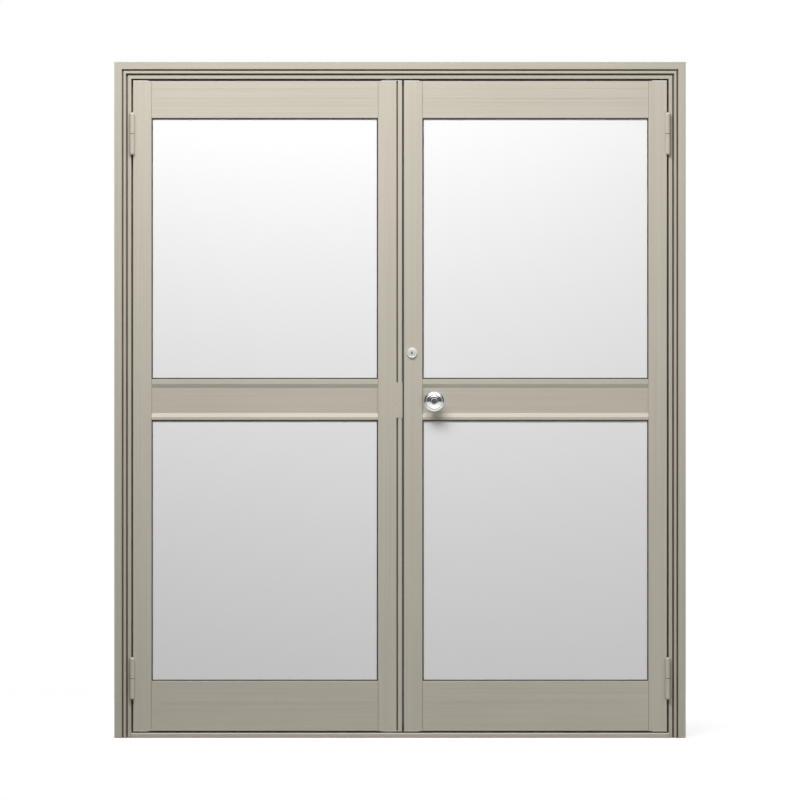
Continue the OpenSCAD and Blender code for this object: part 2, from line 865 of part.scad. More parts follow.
// Soft seal on the strip's edge: one length on the strike and one above and below it
module meeting_seal() {
    tip = strip_x + strip_seal;
    z0 = knob_z + strike_up - strike_h / 2;
    z1 = z0 + strike_h;
    color(black) {
        block([strip_x, edge_seal_y0, leaf_z0], [tip, edge_seal_y1, z0]);
        block([strip_x + strike_t, edge_seal_y0, z0 + joint_gap], [tip, edge_seal_y1, z1 - joint_gap]);
        block([strip_x, edge_seal_y0, z1], [tip, edge_seal_y1, leaf_z1]);
    }
}

// The latch's bent strike, with a guard on the face of the strip, and the deadbolt's flat strike
module strikes() {
    z0 = knob_z + strike_up - strike_h / 2;
    guard_x = -left_edge - 2.6;
    x1 = strip_x + strike_t;
    y1 = leaf_y0 + strike_leg;
    color(bright) difference() {
        union() {
            block([guard_x, leaf_y0 - face_t, z0], [x1, leaf_y0, z0 + strike_h]);
            block([strip_x, leaf_y0 - face_t, z0], [x1, y1, z0 + strike_h]);
            block([strip_x, lock_y - 11, dead_z - 30], [x1, y1, dead_z + 30]);
        }
        bolt_pocket(latch_w, latch_h, knob_z);
        bolt_pocket(dead_w, dead_h, dead_z);
    }
}

// Plate and guides of one flush bolt; up is 1 for the bolt that rises and -1 for the one that drops
module flush_bolt_case(z, up) {
    slot_w = button_w + 2 * slip;
    translate([rod_x, 0, z]) mirror([0, 0, up < 0 ? 1 : 0]) difference() {
        union() {
            block([-bolt_plate_w / 2, leaf_y1, -bolt_plate_h / 2],
                [bolt_plate_w / 2, leaf_y1 + bolt_plate_t, bolt_plate_h / 2]);
            for (g = [-guide_far, guide_near])
                block([-guide_w / 2, rod_y - rod_r - 3, g],
                    [guide_w / 2, leaf_y1, g + guide_far - guide_near]);
        }
        translate([0, rod_y, -bolt_plate_h]) cylinder(h = 2 * bolt_plate_h, r = rod_r + running);
        block([-slot_w / 2, leaf_y1 - over, -button_h / 2 - slip],
            [slot_w / 2, leaf_y1 + bolt_plate_t + over, button_h / 2 + bolt_throw + slip]);
    }
}

module flush_bolt_cases() {
    color(bright) {
        flush_bolt_case(bolt_case_z[0], -1);
        flush_bolt_case(bolt_case_z[1], 1);
    }
}

// Rod with its thumb button, for a bolt that rises from z
module flush_bolt(z, up) {
    tip = bolt_reach + cap_t - slip;
    tail = guide_far + 6;
    translate([rod_x, 0, z]) mirror([0, 0, up < 0 ? 1 : 0]) union() {
        translate([0, rod_y, -tail]) cylinder(h = tail + tip, r = rod_r);
        block([-button_w / 2, rod_y, -button_h / 2],
            [button_w / 2, leaf_y1 + bolt_plate_t + 5, button_h / 2]);
    }
}

module top_flush_bolt() {
    color(bright) flush_bolt(bolt_case_z[1], 1);
}

module bottom_flush_bolt() {
    color(bright) flush_bolt(bolt_case_z[0], -1);
}

// ---- Right leaf ----

module right_hinge_stile() {
    color(metal) hinge_stile();
}

module right_meeting_stile() {
    neck_w = dead_w + 4;
    neck_h = dead_h + 4;
    color(metal) difference() {
        meeting_stile(right_edge);
        translate([right_edge - over, lock_y, knob_z]) rotate([0, 90, 0])
            cylinder(h = stile_w, r = latch_case_r + slip);
        block([right_edge - over, lock_y - neck_w / 2 - slip, dead_z - neck_h / 2 - slip],
            [right_edge + wall + over, lock_y + neck_w / 2 + slip, dead_z + neck_h / 2 + slip]);
        to_front(dead_x, leaf_y0 + wall + over, dead_z)
            cylinder(h = wall + 2 * over, r = cylinder_r + slip);
        to_back(dead_x, leaf_y1 - wall - over, dead_z)
            cylinder(h = wall + 2 * over, r = button_r + apart);
    }
}

module right_top_rail() {
    color(metal) top_rail(right_edge);
}

module right_mid_rail() {
    color(metal) difference() {
        mid_rail(right_edge);
        to_back(knob_x, leaf_y0, knob_z) cylinder(h = leaf_t + over, r = neck_r + apart);
    }
}

module right_bottom_rail() {
    color(metal) bottom_rail(right_edge);
}

module right_rail_brackets() {
    color(metal_dark) difference() {
        rail_brackets(right_edge);
        translate([right_edge, lock_y, knob_z]) rotate([0, 90, 0])
            cylinder(h = backset, r = latch_case_r + apart);
    }
}

module right_upper_glass() {
    color(clear_glass) pane(right_edge, 1);
}

module right_lower_glass() {
    color(clear_glass) pane(right_edge, 0);
}

// Gaskets of the panes, and the soft seal on the stile's edge that meets the one on the strip
module right_gaskets() {
    color(black) {
        gaskets(right_edge);
        block([strip_x + strip_seal + seal_apart, edge_seal_y0, leaf_z0],
            [right_edge, edge_seal_y1, leaf_z1]);
    }
}

module right_beads() {
    color(metal) beads(right_edge);
}

module right_setting_blocks() {
    color(black) setting_blocks(right_edge);
}

module right_end_caps() {
    color(plastic) end_caps(right_edge, false);
}

module right_hinge_leaves() {
    hinge_leaves(1);
}

module right_hinge_screws() {
    leaf_screws(1);
}

// ---- Knob lock ----

// Tube, hub and faceplate of the latch, slotted for its bolt
module latch_case() {
    slot_w = latch_w + 2 * slip;
    slot_h = latch_h + 2 * slip;
    color(bright) difference() {
        union() {
            block([right_edge - face_t, lock_y - 11, knob_z - 28.5],
                [right_edge, lock_y + 11, knob_z + 28.5]);
            translate([right_edge, lock_y, knob_z]) rotate([0, 90, 0])
                cylinder(h = backset - hub_l / 2 + over, r = latch_case_r);
            block([knob_x - hub_l / 2, lock_y - hub_d / 2, knob_z - hub_h / 2],
                [knob_x + hub_l / 2, lock_y + hub_d / 2, knob_z + hub_h / 2]);
        }
        block([right_edge - face_t - over, lock_y - slot_w / 2, knob_z - slot_h / 2],
            [knob_x, lock_y + slot_w / 2, knob_z + slot_h / 2]);
        to_front(knob_x, lock_y + hub_d, knob_z) cylinder(h = 2 * hub_d, r = spindle_r + apart);
    }
}

// Sprung latch bolt, bevelled on the side that meets the strike, with its draw bar
module latch_bolt() {
    tip = right_edge - face_t;
    nose = 8;
    bar_end = knob_x - spindle_r - 2;
    color(bright) difference() {
        union() {
            block([tip, lock_y - latch_w / 2, knob_z - latch_h / 2],
                [tip + latch_body_l, lock_y + latch_w / 2, knob_z + latch_h / 2]);
            block([tip + latch_body_l, lock_y - 2, knob_z - 4], [bar_end, lock_y + 2, knob_z + 4]);
        }
        translate([0, 0, knob_z - latch_h]) linear_extrude(2 * latch_h)
            polygon([[tip - over, lock_y - latch_w / 2 + 2], [tip, lock_y - latch_w / 2 + 2],
                [tip + nose, lock_y + latch_w / 2], [tip + nose, lock_y + latch_w],
                [tip - over, lock_y + latch_w]]);
    }
}

// Points on an arc about (r, h) in a turned section
function arc(r, h, radius, from, to, steps) =
    [for (k = [0:steps]) let (a = from + (to - from) * k / steps)
        [r + radius * cos(a), h + radius * sin(a)]];

// Rose: a turned disc with a rounded shoulder, standing on z = 0
module rose(r, h, bore) {
    shoulder = min(h - 1, 5);
    rotate_extrude() polygon(concat([[bore, 0], [r, 0]],
        arc(r - shoulder, h - shoulder, shoulder, 0, 90, 6), [[bore, h]]));
}

// Turned section of a knob's head and neck, hollow for what turns inside it
module knob_section(core_r, core_l, bore_r) {
    rim = 5;
    flare = 12;
    flare_h = knob_l - 26;
    polygon(concat([[bore_r, 0], [neck_r, 0], [neck_r, flare_h - flare * 0.6]],
        arc(knob_r, flare_h - flare * 0.6, knob_r - neck_r, 180, 115, 6),
        [[knob_r, flare_h + 6]],
        arc(knob_r - rim, knob_l - rim, rim, 0, 90, 6),
        [[core_r + 3, knob_l], [core_r + 1.5, knob_l - 1], [core_r, knob_l - 1],
            [core_r, knob_l - core_l], [bore_r, knob_l - core_l]]));
}

module outer_rose() {
    color(bright) to_front(knob_x, face_y, knob_z) rose(rose_r, rose_h, neck_r + running);
}

module inner_rose() {
    color(bright) to_back(knob_x, leaf_y1, knob_z) rose(rose_r, rose_h, neck_r + running);
}

// Outer knob with its spindle, which runs through the leaf into the inner knob
module outer_knob() {
    spindle_l = leaf_y1 - face_y + spindle_in;
    color(bright) to_front(knob_x, face_y, knob_z) union() {
        rotate_extrude() knob_section(plug_r + running, plug_l, tail_bore_r);
        translate([0, 0, -spindle_l]) difference() {
            cylinder(h = spindle_l, r = spindle_r);
            translate([0, 0, -over]) cylinder(h = spindle_l + 2 * over, r = tail_bore_r);
        }
    }
}

module inner_knob() {
    color(bright) to_back(knob_x, leaf_y1, knob_z)
        difference() {
            rotate_extrude() knob_section(button_r + running, button_seat, tail_bore_r);
            translate([0, 0, -over]) cylinder(h = spindle_in + over + slip, r = spindle_r + seated);
        }
}

// Key plug standing on z = 0 with a slot for the key and a bar at its back
module key_plug(plug_len, bar_l) {
    slot_w = 1.6;
    slot_h = 8.5;
    difference() {
        union() {
            cylinder(h = plug_len, r = plug_r);
            translate([0, 0, -bar_l]) cylinder(h = bar_l, r = tail_r);
        }
        block([-slot_w / 2, -slot_h / 2, plug_len * 0.3], [slot_w / 2, slot_h / 2, plug_len + over]);
    }
}

module knob_key_plug() {
    bar_l = plug_seat + leaf_y1 - face_y + knob_l - button_seat;
    color(bright) to_front(knob_x, face_y - plug_seat, knob_z) key_plug(plug_l, bar_l);
}

// Turn button in the inner knob: a stem and a grip bar
module turn_button() {
    grip = 9;
    color(bright) to_back(knob_x, leaf_y1 + knob_l - button_seat, knob_z) union() {
        cylinder(h = button_seat, r = button_r);
        block([-2, -button_r + 1, button_seat - 0.5], [2, button_r - 1, button_seat + grip]);
    }
}

// ---- Deadlock ----

// Case, neck and faceplate of the deadlock, slotted for its bolt
module deadlock_case() {
    slot_w = dead_w + 2 * slip;
    slot_h = dead_h + 2 * slip;
    neck_w = dead_w + 4;
    neck_h = dead_h + 4;
    x1 = right_edge + box_w - wall - slip;
    color(bright) difference() {
        union() {
            block([right_edge - face_t, lock_y - 10, dead_z - dead_case_h / 2],
                [right_edge, lock_y + 10, dead_z + dead_case_h / 2]);
            block([right_edge, lock_y - neck_w / 2, dead_z - neck_h / 2],
                [right_edge + wall + slip, lock_y + neck_w / 2, dead_z + neck_h / 2]);
            block([right_edge + wall + slip, lock_y - dead_case_d / 2, dead_z - dead_case_h / 2],
                [x1, lock_y + dead_case_d / 2, dead_z + dead_case_h / 2]);
        }
        block([right_edge - face_t - over, lock_y - slot_w / 2, dead_z - slot_h / 2],
            [x1 - wall, lock_y + slot_w / 2, dead_z + slot_h / 2]);
        to_front(dead_x, lock_y + dead_case_d, dead_z)
            cylinder(h = 2 * dead_case_d, r = tail_r + apart);
    }
}

// Square bolt, forked round the turning bar
module deadbolt() {
    tip = right_edge - face_t;
    end = min(dead_x + dead_throw - 1, right_edge + box_w - 2 * wall - 1);
    fork = tail_r + 1.5;
    color(bright) difference() {
        block([tip, lock_y - dead_w / 2, dead_z - dead_h / 2],
            [end, lock_y + dead_w / 2, dead_z + dead_h / 2]);
        block([dead_x - fork, lock_y - dead_w, dead_z - fork],
            [end + over, lock_y + dead_w, dead_z + fork]);
    }
}

module deadlock_cylinder() {
    body_l = lock_y - dead_case_d / 2 - leaf_y0;
    color(bright) to_front(dead_x, leaf_y0, dead_z) difference() {
        union() {
            rose(ring_r, ring_h, plug_r + running);
            translate([0, 0, -body_l]) cylinder(h = body_l, r = cylinder_r);
        }
        translate([0, 0, -body_l - over])
            cylinder(h = body_l + ring_h + 2 * over, r = plug_r + running);
    }
}

module deadlock_key_plug() {
    body_l = lock_y - dead_case_d / 2 - leaf_y0;
    bar_l = leaf_y1 - cam_gap - (lock_y - dead_case_d / 2);
    color(bright) to_front(dead_x, lock_y - dead_case_d / 2, dead_z)
        key_plug(body_l + ring_h, bar_l);
}

module deadlock_rose() {
    color(bright) to_back(dead_x, leaf_y1, dead_z) rose(ring_r, deadlock_rose_h, button_r + running);
}

// Inside thumb turn: a stem through the rose and a flat grip
module thumb_turn() {
    stem = 9;
    color(bright) to_back(dead_x, leaf_y1 - cam_gap, dead_z) union() {
        cylinder(h = stem, r = button_r);
        block([-3, -13, stem], [3, 13, stem + 14]);
    }
}

frame_head();
frame_jamb_left();
frame_jamb_right();
frame_sill();
frame_stops();
frame_corner_cleats();
frame_seals();
hinge_bases();
hinge_pins();
hinge_washers();
hinge_base_screws();
bolt_keepers();
left_hinge_stile();
left_meeting_stile();
left_top_rail();
left_mid_rail();
left_bottom_rail();
left_rail_brackets();
left_upper_glass();
left_lower_glass();
left_gaskets();
left_beads();
left_setting_blocks();
left_end_caps();
left_hinge_leaves();
left_hinge_screws();
meeting_strip();
meeting_seal();
strikes();
flush_bolt_cases();
top_flush_bolt();
bottom_flush_bolt();
right_hinge_stile();
right_meeting_stile();
right_top_rail();
right_mid_rail();
right_bottom_rail();
right_rail_brackets();
right_upper_glass();
right_lower_glass();
right_gaskets();
right_beads();
right_setting_blocks();
right_end_caps();
right_hinge_leaves();
right_hinge_screws();
latch_case();
latch_bolt();
outer_rose();
inner_rose();
outer_knob();
inner_knob();
knob_key_plug();
turn_button();
deadlock_case();
deadbolt();
deadlock_cylinder();
deadlock_key_plug();
deadlock_rose();
thumb_turn();
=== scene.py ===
# %% [markdown]
# # A double-leaf glazed door, dressed for its picture
# The door's frame, leaves, hinges and locks were made as solids in a CAD program. This file is the
# second half of the work: it loads those solids, gives each one its finish, and adds the pieces whose
# soft or turned shapes deserve a finer surface. Nothing that came from CAD is moved.

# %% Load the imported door
import json
import math

import bpy
import numpy as np
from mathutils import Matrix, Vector


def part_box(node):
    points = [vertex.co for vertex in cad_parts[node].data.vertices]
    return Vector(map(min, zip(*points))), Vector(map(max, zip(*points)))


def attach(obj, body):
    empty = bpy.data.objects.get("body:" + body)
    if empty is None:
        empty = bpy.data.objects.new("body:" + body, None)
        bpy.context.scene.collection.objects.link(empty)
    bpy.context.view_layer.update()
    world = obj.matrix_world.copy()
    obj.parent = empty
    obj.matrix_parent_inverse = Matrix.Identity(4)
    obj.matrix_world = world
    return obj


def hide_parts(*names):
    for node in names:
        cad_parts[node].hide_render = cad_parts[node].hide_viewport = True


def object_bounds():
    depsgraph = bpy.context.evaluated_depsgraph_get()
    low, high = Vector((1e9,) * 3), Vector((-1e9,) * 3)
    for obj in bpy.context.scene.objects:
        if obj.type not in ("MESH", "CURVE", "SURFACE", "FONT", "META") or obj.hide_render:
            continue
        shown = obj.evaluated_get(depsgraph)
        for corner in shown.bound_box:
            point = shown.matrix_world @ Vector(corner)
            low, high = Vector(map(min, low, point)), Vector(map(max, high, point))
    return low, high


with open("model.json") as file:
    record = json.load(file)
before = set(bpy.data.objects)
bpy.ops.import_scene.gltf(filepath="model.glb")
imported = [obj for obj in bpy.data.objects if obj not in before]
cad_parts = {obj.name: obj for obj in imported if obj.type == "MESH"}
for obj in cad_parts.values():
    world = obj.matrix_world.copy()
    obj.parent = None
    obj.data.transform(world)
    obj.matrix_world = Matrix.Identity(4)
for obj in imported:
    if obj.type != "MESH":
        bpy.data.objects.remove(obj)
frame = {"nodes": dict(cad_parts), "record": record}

cad_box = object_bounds()
MM = 0.001
nodes = frame["nodes"]
print("CAD nodes:", len(nodes), "box:", [[round(c, 4) for c in corner] for corner in cad_box])

# %% [markdown]
# ## The camera and the picture's colours
# The door is seen square on, from far away, so that its edges stay parallel. A long lens at a long
# distance does that and stays an ordinary camera. An orthographic one would also do. The Standard view
# keeps whites white.

# %% Camera
VIEW_WIDTH = 2.3662  # metres of the door's plane that the picture is wide
CAMERA_DISTANCE = 20.0
SENSOR = 36.0
AIM_DROP = 0.0003  # metres that the camera looks below the door's middle

camera_data = bpy.data.cameras.new("front_camera")
camera_data.sensor_width = SENSOR
camera_data.lens = SENSOR * CAMERA_DISTANCE / VIEW_WIDTH
camera_data.clip_end = 200.0
camera = bpy.data.objects.new("front_camera", camera_data)
bpy.context.collection.objects.link(camera)
middle = (cad_box[0] + cad_box[1]) / 2
camera.location = (0.0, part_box("frame_head")[0].y - CAMERA_DISTANCE, middle.z - AIM_DROP)
camera.rotation_euler = (math.radians(90), 0.0, 0.0)
bpy.context.scene.camera = camera
bpy.context.scene.view_settings.view_transform = "Standard"
print("lens:", round(camera_data.lens, 1), "mm")

# %% [markdown]
# ## Writing a finish as sums
# A shader's maths is easier to read as Python than as a web of boxes. A small class wraps one socket, and
# each + - or * on it adds the Math node that does it. Another class holds the material being written: its
# one method `node` makes any node from its type, its settings and what its sockets are fed with.

# %% A socket that does sums
class Value:
    """One number inside a material, which varies over the surface. Arithmetic on it adds Math nodes."""

    def __init__(self, finish, socket):
        self.finish, self.socket = finish, socket

    def _math(self, operation, a, b):
        return self.finish.node("ShaderNodeMath", {"operation": operation}, {0: a, 1: b})

    def __add__(self, other):
        return self._math("ADD", self, other)

    def __radd__(self, other):
        return self._math("ADD", other, self)

    def __sub__(self, other):
        return self._math("SUBTRACT", self, other)

    def __rsub__(self, other):
        return self._math("SUBTRACT", other, self)

    def __mul__(self, other):
        return self._math("MULTIPLY", self, other)

    def __rmul__(self, other):
        return self._math("MULTIPLY", other, self)


# %% A material being written
class Finish:
    """A new material. Its shader's sockets are set by name, with numbers, colours or Values."""

    def __init__(self, name, **constants):
        self.material = bpy.data.materials.new(name)
        self.material.use_nodes = True
        self.tree = self.material.node_tree
        self.shader = self.tree.nodes["Principled BSDF"]
        for socket, value in constants.items():
            self.set(socket.replace("_", " "), value)

    def feed(self, socket, value):
        """Gives a socket its value: a link from a Value, or else a plain number or colour."""
        if isinstance(value, Value):
            self.tree.links.new(value.socket, socket)
        elif hasattr(socket.default_value, "__len__") and len(value) == 3 and len(socket.default_value) == 4:
            socket.default_value = (*value, 1.0)
        else:
            socket.default_value = value

    def set(self, socket, value):
        """Feeds one socket of the shader, by its name."""
        self.feed(self.shader.inputs[socket], value)

    def node(self, kind, settings=None, inputs=None, out=0):
        """Adds one node: its settings first, then its sockets' values or links."""
        made = self.tree.nodes.new(kind)
        for key, value in (settings or {}).items():
            if key == "stops":
                ramp = made.color_ramp
                ramp.elements[0].position, ramp.elements[1].position = value[0][0], value[-1][0]
                for place, _ in value[1:-1]:
                    ramp.elements.new(place)
                for element, (_, colour) in zip(ramp.elements, value):
                    element.color = (*colour, 1.0)
            else:
                setattr(made, key, value)
        for key, value in (inputs or {}).items():
            self.feed(made.inputs[key], value)
        return Value(self, made.outputs[out])

    def place(self, scale=(1.0, 1.0, 1.0)):
        """The point on the object, in metres, stretched by scale."""
        point = self.node("ShaderNodeTexCoord", out="Object")
        return self.node("ShaderNodeMapping", {}, {"Vector": point, "Scale": scale})

    def noise(self, scale, where=None, detail=3.0, rough=0.5):
        """Cloudy numbers about 0, mostly from -0.25 to 0.25, with scale lumps to the metre."""
        return self.node("ShaderNodeTexNoise", {}, {"Vector": where or self.place(), "Scale": scale,
                         "Detail": detail, "Roughness": rough}) - 0.5

    def blend(self, factor, low, high):
        """A colour between low, where the factor is 0, and high, where it is 1."""
        return self.node("ShaderNodeMix", {"data_type": "RGBA"}, {0: factor, 6: low, 7: high}, out=2)

    def bump(self, height, strength, depth):
        """Tilts the surface as a relief of that height would, depth metres high."""
        self.set("Normal", self.node("ShaderNodeBump", {}, {"Height": height, "Strength": strength,
                                     "Distance": depth}))


def shade(colour, factor):
    """The colour made lighter or darker by a plain factor."""
    return tuple(min(1.0, c * factor) for c in colour)


# %% [markdown]
# ## Anodised aluminium
# The frame and the leaves are drawn aluminium with a satin champagne anodising. Drawing leaves faint
# streaks along each bar, so the noise is stretched along it: a bar that stands has upright streaks. The
# oxide layer scatters most of the light, which is why a plain metal shader would look too dark here. The
# finish is a mix, part metal and part body colour, with a little variation in both colour and gloss.

# %% Aluminium finishes
ACROSS, ALONG = 240.0, 1.6  # streaks to the metre, across and along a bar
DARK_STREAK, PALE_STREAK = 0.88, 1.11  # how far a streak's tone goes from the bar's own colour
STREAKS = {"x": (ALONG, ACROSS, ACROSS), "z": (ACROSS, ACROSS, ALONG), "any": (ACROSS, ACROSS, ACROSS)}


def anodised(name, colour, along, metal=0.12, rough=0.46):
    """Satin anodised metal whose streaks run along x, z or neither."""
    f = Finish(name, Metallic=metal)
    streak = f.noise(1.0, f.place(STREAKS[along]), detail=4.0)
    cloud = f.noise(2.2, detail=2.0)
    grain = f.noise(1500.0, detail=1.0)
    tone = 0.5 + streak * 0.9 + cloud * 0.5 + grain * 0.5
    f.set("Base Color", f.blend(tone, shade(colour, DARK_STREAK), shade(colour, PALE_STREAK)))
    f.set("Roughness", rough + streak * 0.16 + grain * 0.1)
    f.bump(streak + grain * 0.5, 0.12, 0.2 * MM)
    return f.material


CHAMPAGNE = (0.487, 0.452, 0.378)
LEAF_TONE = (0.538, 0.500, 0.422)
SILL_TONE = (0.500, 0.462, 0.392)
finishes = {
    ("frame_aluminium", "z"): anodised("frame_anodised_upright", CHAMPAGNE, "z"),
    ("frame_aluminium", "x"): anodised("frame_anodised_level", CHAMPAGNE, "x"),
    ("leaf_aluminium", "z"): anodised("leaf_anodised_upright", LEAF_TONE, "z"),
    ("leaf_aluminium", "x"): anodised("leaf_anodised_level", LEAF_TONE, "x"),
    ("leaf_aluminium", "any"): anodised("bead_anodised", LEAF_TONE, "any"),
    ("sill_aluminium", "x"): anodised("sill_anodised", SILL_TONE, "x", 0.2, 0.36),
    ("bracket_aluminium", "any"): anodised("bracket_mill", (0.58, 0.58, 0.57), "any", 0.85, 0.5),
    ("hinge_metal", "any"): anodised("hinge_anodised", shade(CHAMPAGNE, 1.15), "any", 0.15, 0.3),
}
print("aluminium finishes:", len(finishes))

# %% [markdown]
# ## Glass, rubber and plastic
# The panes are white obscure glass: light comes through, but nothing is seen behind it. That is a bright
# body with a fine frosted grain under a smoother surface. Rubber is almost black, matt, and slightly
# chalky in patches. The moulded caps and washers have the fine orange-peel of a spark-eroded mould.

# %% Glass, rubber and plastic finishes
def obscure_glass():
    """White translucent glass, frosted with a fine even grain."""
    f = Finish("obscure_glass", Metallic=0.0, IOR=1.5, Transmission_Weight=0.08)
    grain = f.noise(900.0, detail=2.0)
    cloud = f.noise(3.0, detail=1.0)
    tone = 0.5 + grain * 0.5 + cloud * 0.4
    f.set("Base Color", f.blend(tone, (0.850, 0.850, 0.846), (0.885, 0.885, 0.881)))
    f.set("Roughness", 0.5 + grain * 0.3)
    f.bump(grain, 0.15, 0.1 * MM)
    return f.material


def moulded(name, colour, rough, lumps, spread=0.25, depth=0.05):
    """Rubber or plastic as it leaves its mould: lumps to the metre, with dull patches."""
    f = Finish(name, Metallic=0.0)
    skin = f.noise(lumps, detail=2.0)
    patch = f.noise(14.0, detail=3.0)
    tone = 0.5 + patch * 1.4 + skin * 0.4
    f.set("Base Color", f.blend(tone, shade(colour, 1 - spread), shade(colour, 1 + spread)))
    f.set("Roughness", rough + patch * 0.2)
    f.bump(skin, 0.3, depth * MM)
    return f.material


finishes["glass", "any"] = obscure_glass()
finishes["rubber", "any"] = moulded("black_rubber", (0.026, 0.026, 0.023), 0.62, 700.0)
finishes["cap_plastic", "any"] = moulded("cap_plastic", (0.80, 0.79, 0.75), 0.45, 1400.0, 0.05)
finishes["washer_plastic", "any"] = moulded("washer_plastic", (0.05, 0.05, 0.05), 0.4, 1400.0)
sealant = moulded("joint_sealant", (0.16, 0.15, 0.13), 0.7, 500.0)
# Dark brown for the strips laid in the grooves: painted shade.
groove_shade = moulded("painted_groove_shade", (0.165, 0.148, 0.118), 0.7, 500.0)

# %% [markdown]
# ## Chrome and steel
# Polished chrome is a clean mirror: its look is what it reflects, so it only needs the faintest haze of
# handling. Turned satin chrome has fine rings about its axis, and rolled steel has a crossed grain.

# %% Chrome and steel finishes
def bright_metal(name, colour, rough, lumps, haze, depth, metal=1.0):
    """Solid metal: lumps to the metre of fine grain, and haze for how uneven its gloss is."""
    f = Finish(name, Metallic=metal)
    fine = f.noise(lumps, detail=2.0)
    hand = f.noise(35.0, detail=3.0)
    f.set("Base Color", f.blend(0.5 + hand * 0.8, shade(colour, 0.96), shade(colour, 1.04)))
    f.set("Roughness", rough + hand * haze + fine * haze * 0.5)
    f.bump(fine, 0.1, depth * MM)
    return f.material


finishes["knob_chrome", "any"] = bright_metal("polished_chrome", (0.80, 0.80, 0.81), 0.07, 500.0, 0.05, 0.01)
finishes["lock_chrome", "any"] = bright_metal("satin_chrome", (0.80, 0.795, 0.785), 0.38, 1800.0, 0.10, 0.05,
                                              metal=0.5)
finishes["lock_steel", "any"] = bright_metal("brushed_steel", (0.60, 0.59, 0.57), 0.32, 1600.0, 0.14, 0.06)

# %% [markdown]
# ## Dressing the CAD solids
# Each solid names its material slot in the record, and the slot names the finish. A bar's own box tells
# which way it was drawn: the longest side is the way the streaks run.

# %% Give every CAD node its finish
slot_of = {part["node"]: part["material_slot"] for part in frame["record"]["subparts"]}


def drawn_along(name):
    """x for a level bar, z for an upright one."""
    low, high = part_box(name)
    return "x" if high.x - low.x > high.z - low.z else "z"


def finish_for(name):
    """The finish of a CAD node, by its slot and the way that it was drawn."""
    slot = slot_of[name]
    if "bead" not in name and (slot, drawn_along(name)) in finishes:
        return finishes[slot, drawn_along(name)]
    return finishes.get((slot, "any")) or finishes[slot, "x"]


for name, obj in nodes.items():
    if obj.data.materials:
        for k in range(len(obj.data.materials)):
            obj.data.materials[k] = finish_for(name)
    else:
        obj.data.materials.append(finish_for(name))
print("finished:", len(nodes), "nodes from", len(finishes), "finishes")

# %% [markdown]
# ## Two ways to make a surface
# Every new piece is one or more closed shells. A shell is a grid of points: rows of closed loops, one
# after another. If the last row joins the first, the shell is a ring, like a rose with a bore. If not,
# each end is capped. The sign of the volume tells if the faces point inwards, and then they are turned.

# %% From grids of points to a mesh
def faces_of(points, ring):
    """Corner numbers of the quads between neighbouring points, each row wrapping round on itself."""
    rows, around = points.shape[:2]
    number = np.arange(rows * around).reshape(rows, around)
    step = np.roll(number, -1, axis=1)
    below, below_step = np.roll(number, -1, axis=0), np.roll(step, -1, axis=0)
    last = rows if ring else rows - 1
    return np.stack([number, step, below_step, below], axis=-1)[:last].reshape(-1, 4)


def volume(points, quads):
    """Six times the volume: the triple product of each triangle's corners, added up."""
    p = points.reshape(-1, 3)
    a, b, c, d = (p[quads[:, k]] for k in range(4))
    return float(np.einsum("ij,ij->", a, np.cross(b, c)) + np.einsum("ij,ij->", a, np.cross(c, d)))


def build(name, shells, material, body, sharp=40.0):
    """Makes one object from closed shells, each (points, ring), puts its finish on and lets it ride."""
    everything, corners, first = [], [], 0
    for points, ring in shells:
        centred = points - points.reshape(-1, 3).mean(axis=0)
        quads = faces_of(points, ring)
        turned_in = volume(centred, quads) < 0
        caps = [] if ring else [np.arange(points.shape[1])[::-1],
                                np.arange(points.shape[1]) + (points.shape[0] - 1) * points.shape[1]]
        faces = [*quads, *caps]
        corners += [(f[::-1] if turned_in else f) + first for f in faces]
        everything.append(points.reshape(-1, 3))
        first += points.shape[0] * points.shape[1]
    mesh = bpy.data.meshes.new(name)
    mesh.from_pydata(np.concatenate(everything).tolist(), [], [f.tolist() for f in corners])
    mesh.materials.append(material)
    mesh.shade_smooth()
    mesh.set_sharp_from_angle(angle=math.radians(sharp))
    mesh.update()
    obj = bpy.data.objects.new(name, mesh)
    bpy.context.collection.objects.link(obj)
    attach(obj, body)
    print(f"{name}: {len(shells)} shells, {len(corners)} faces, on {body}")
    return obj


# %% [markdown]
# ## Turned pieces: knobs, roses and the lock's ring
# A knob is turned on a lathe, so its surface is one outline carried round an axis. The outline is a list
# of radii and heights, and its curves are arcs. A bore makes the outline a closed loop, so the surface is
# a ring with no poles. The front of the knob is slightly domed, which is what makes its upper half take
# the dim wall of the room and its lower half the bright floor.

# %% Lathe helpers
def arc(r, h, radius, start, end, steps=12):
    """Points at an even step of angle about the centre (r, h), from start to end in degrees."""
    a = np.radians(np.linspace(start, end, steps))
    return np.stack([r + radius * np.cos(a), h + radius * np.sin(a)], axis=1)


def line(*points):
    """The points as an array of (radius, height)."""
    return np.array(points, float)


def turned(outline, centre, axis, around=96):
    """centre + height * axis + radius * (cos a, sin a) across it, for each outline point and angle a."""
    w = np.array(axis, float)
    u = np.array([1.0, 0.0, 0.0]) if abs(w[0]) < 0.5 else np.array([0.0, 1.0, 0.0])
    v = np.cross(w, u)
    a = np.linspace(0, 2 * math.pi, around, endpoint=False)
    rim = np.cos(a)[None, :, None] * u + np.sin(a)[None, :, None] * v
    profile = outline * MM
    return np.array(centre) + profile[:, 1, None, None] * w + profile[:, 0, None, None] * rim


def centre_of(node):
    """The middle of a CAD node's box."""
    low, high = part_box(node)
    return (low + high) / 2


OUT, IN = (0, -1, 0), (0, 1, 0)
knob_front = centre_of("outer_rose")
knob_front.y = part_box("outer_rose")[1].y
knob_back = Vector((knob_front.x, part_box("inner_rose")[0].y, knob_front.z))
print("knob axis at", [round(c, 4) for c in knob_front])

# %% Roses
ROSE_R, ROSE_H, NECK_R = 30.0, 7.0, 11.0


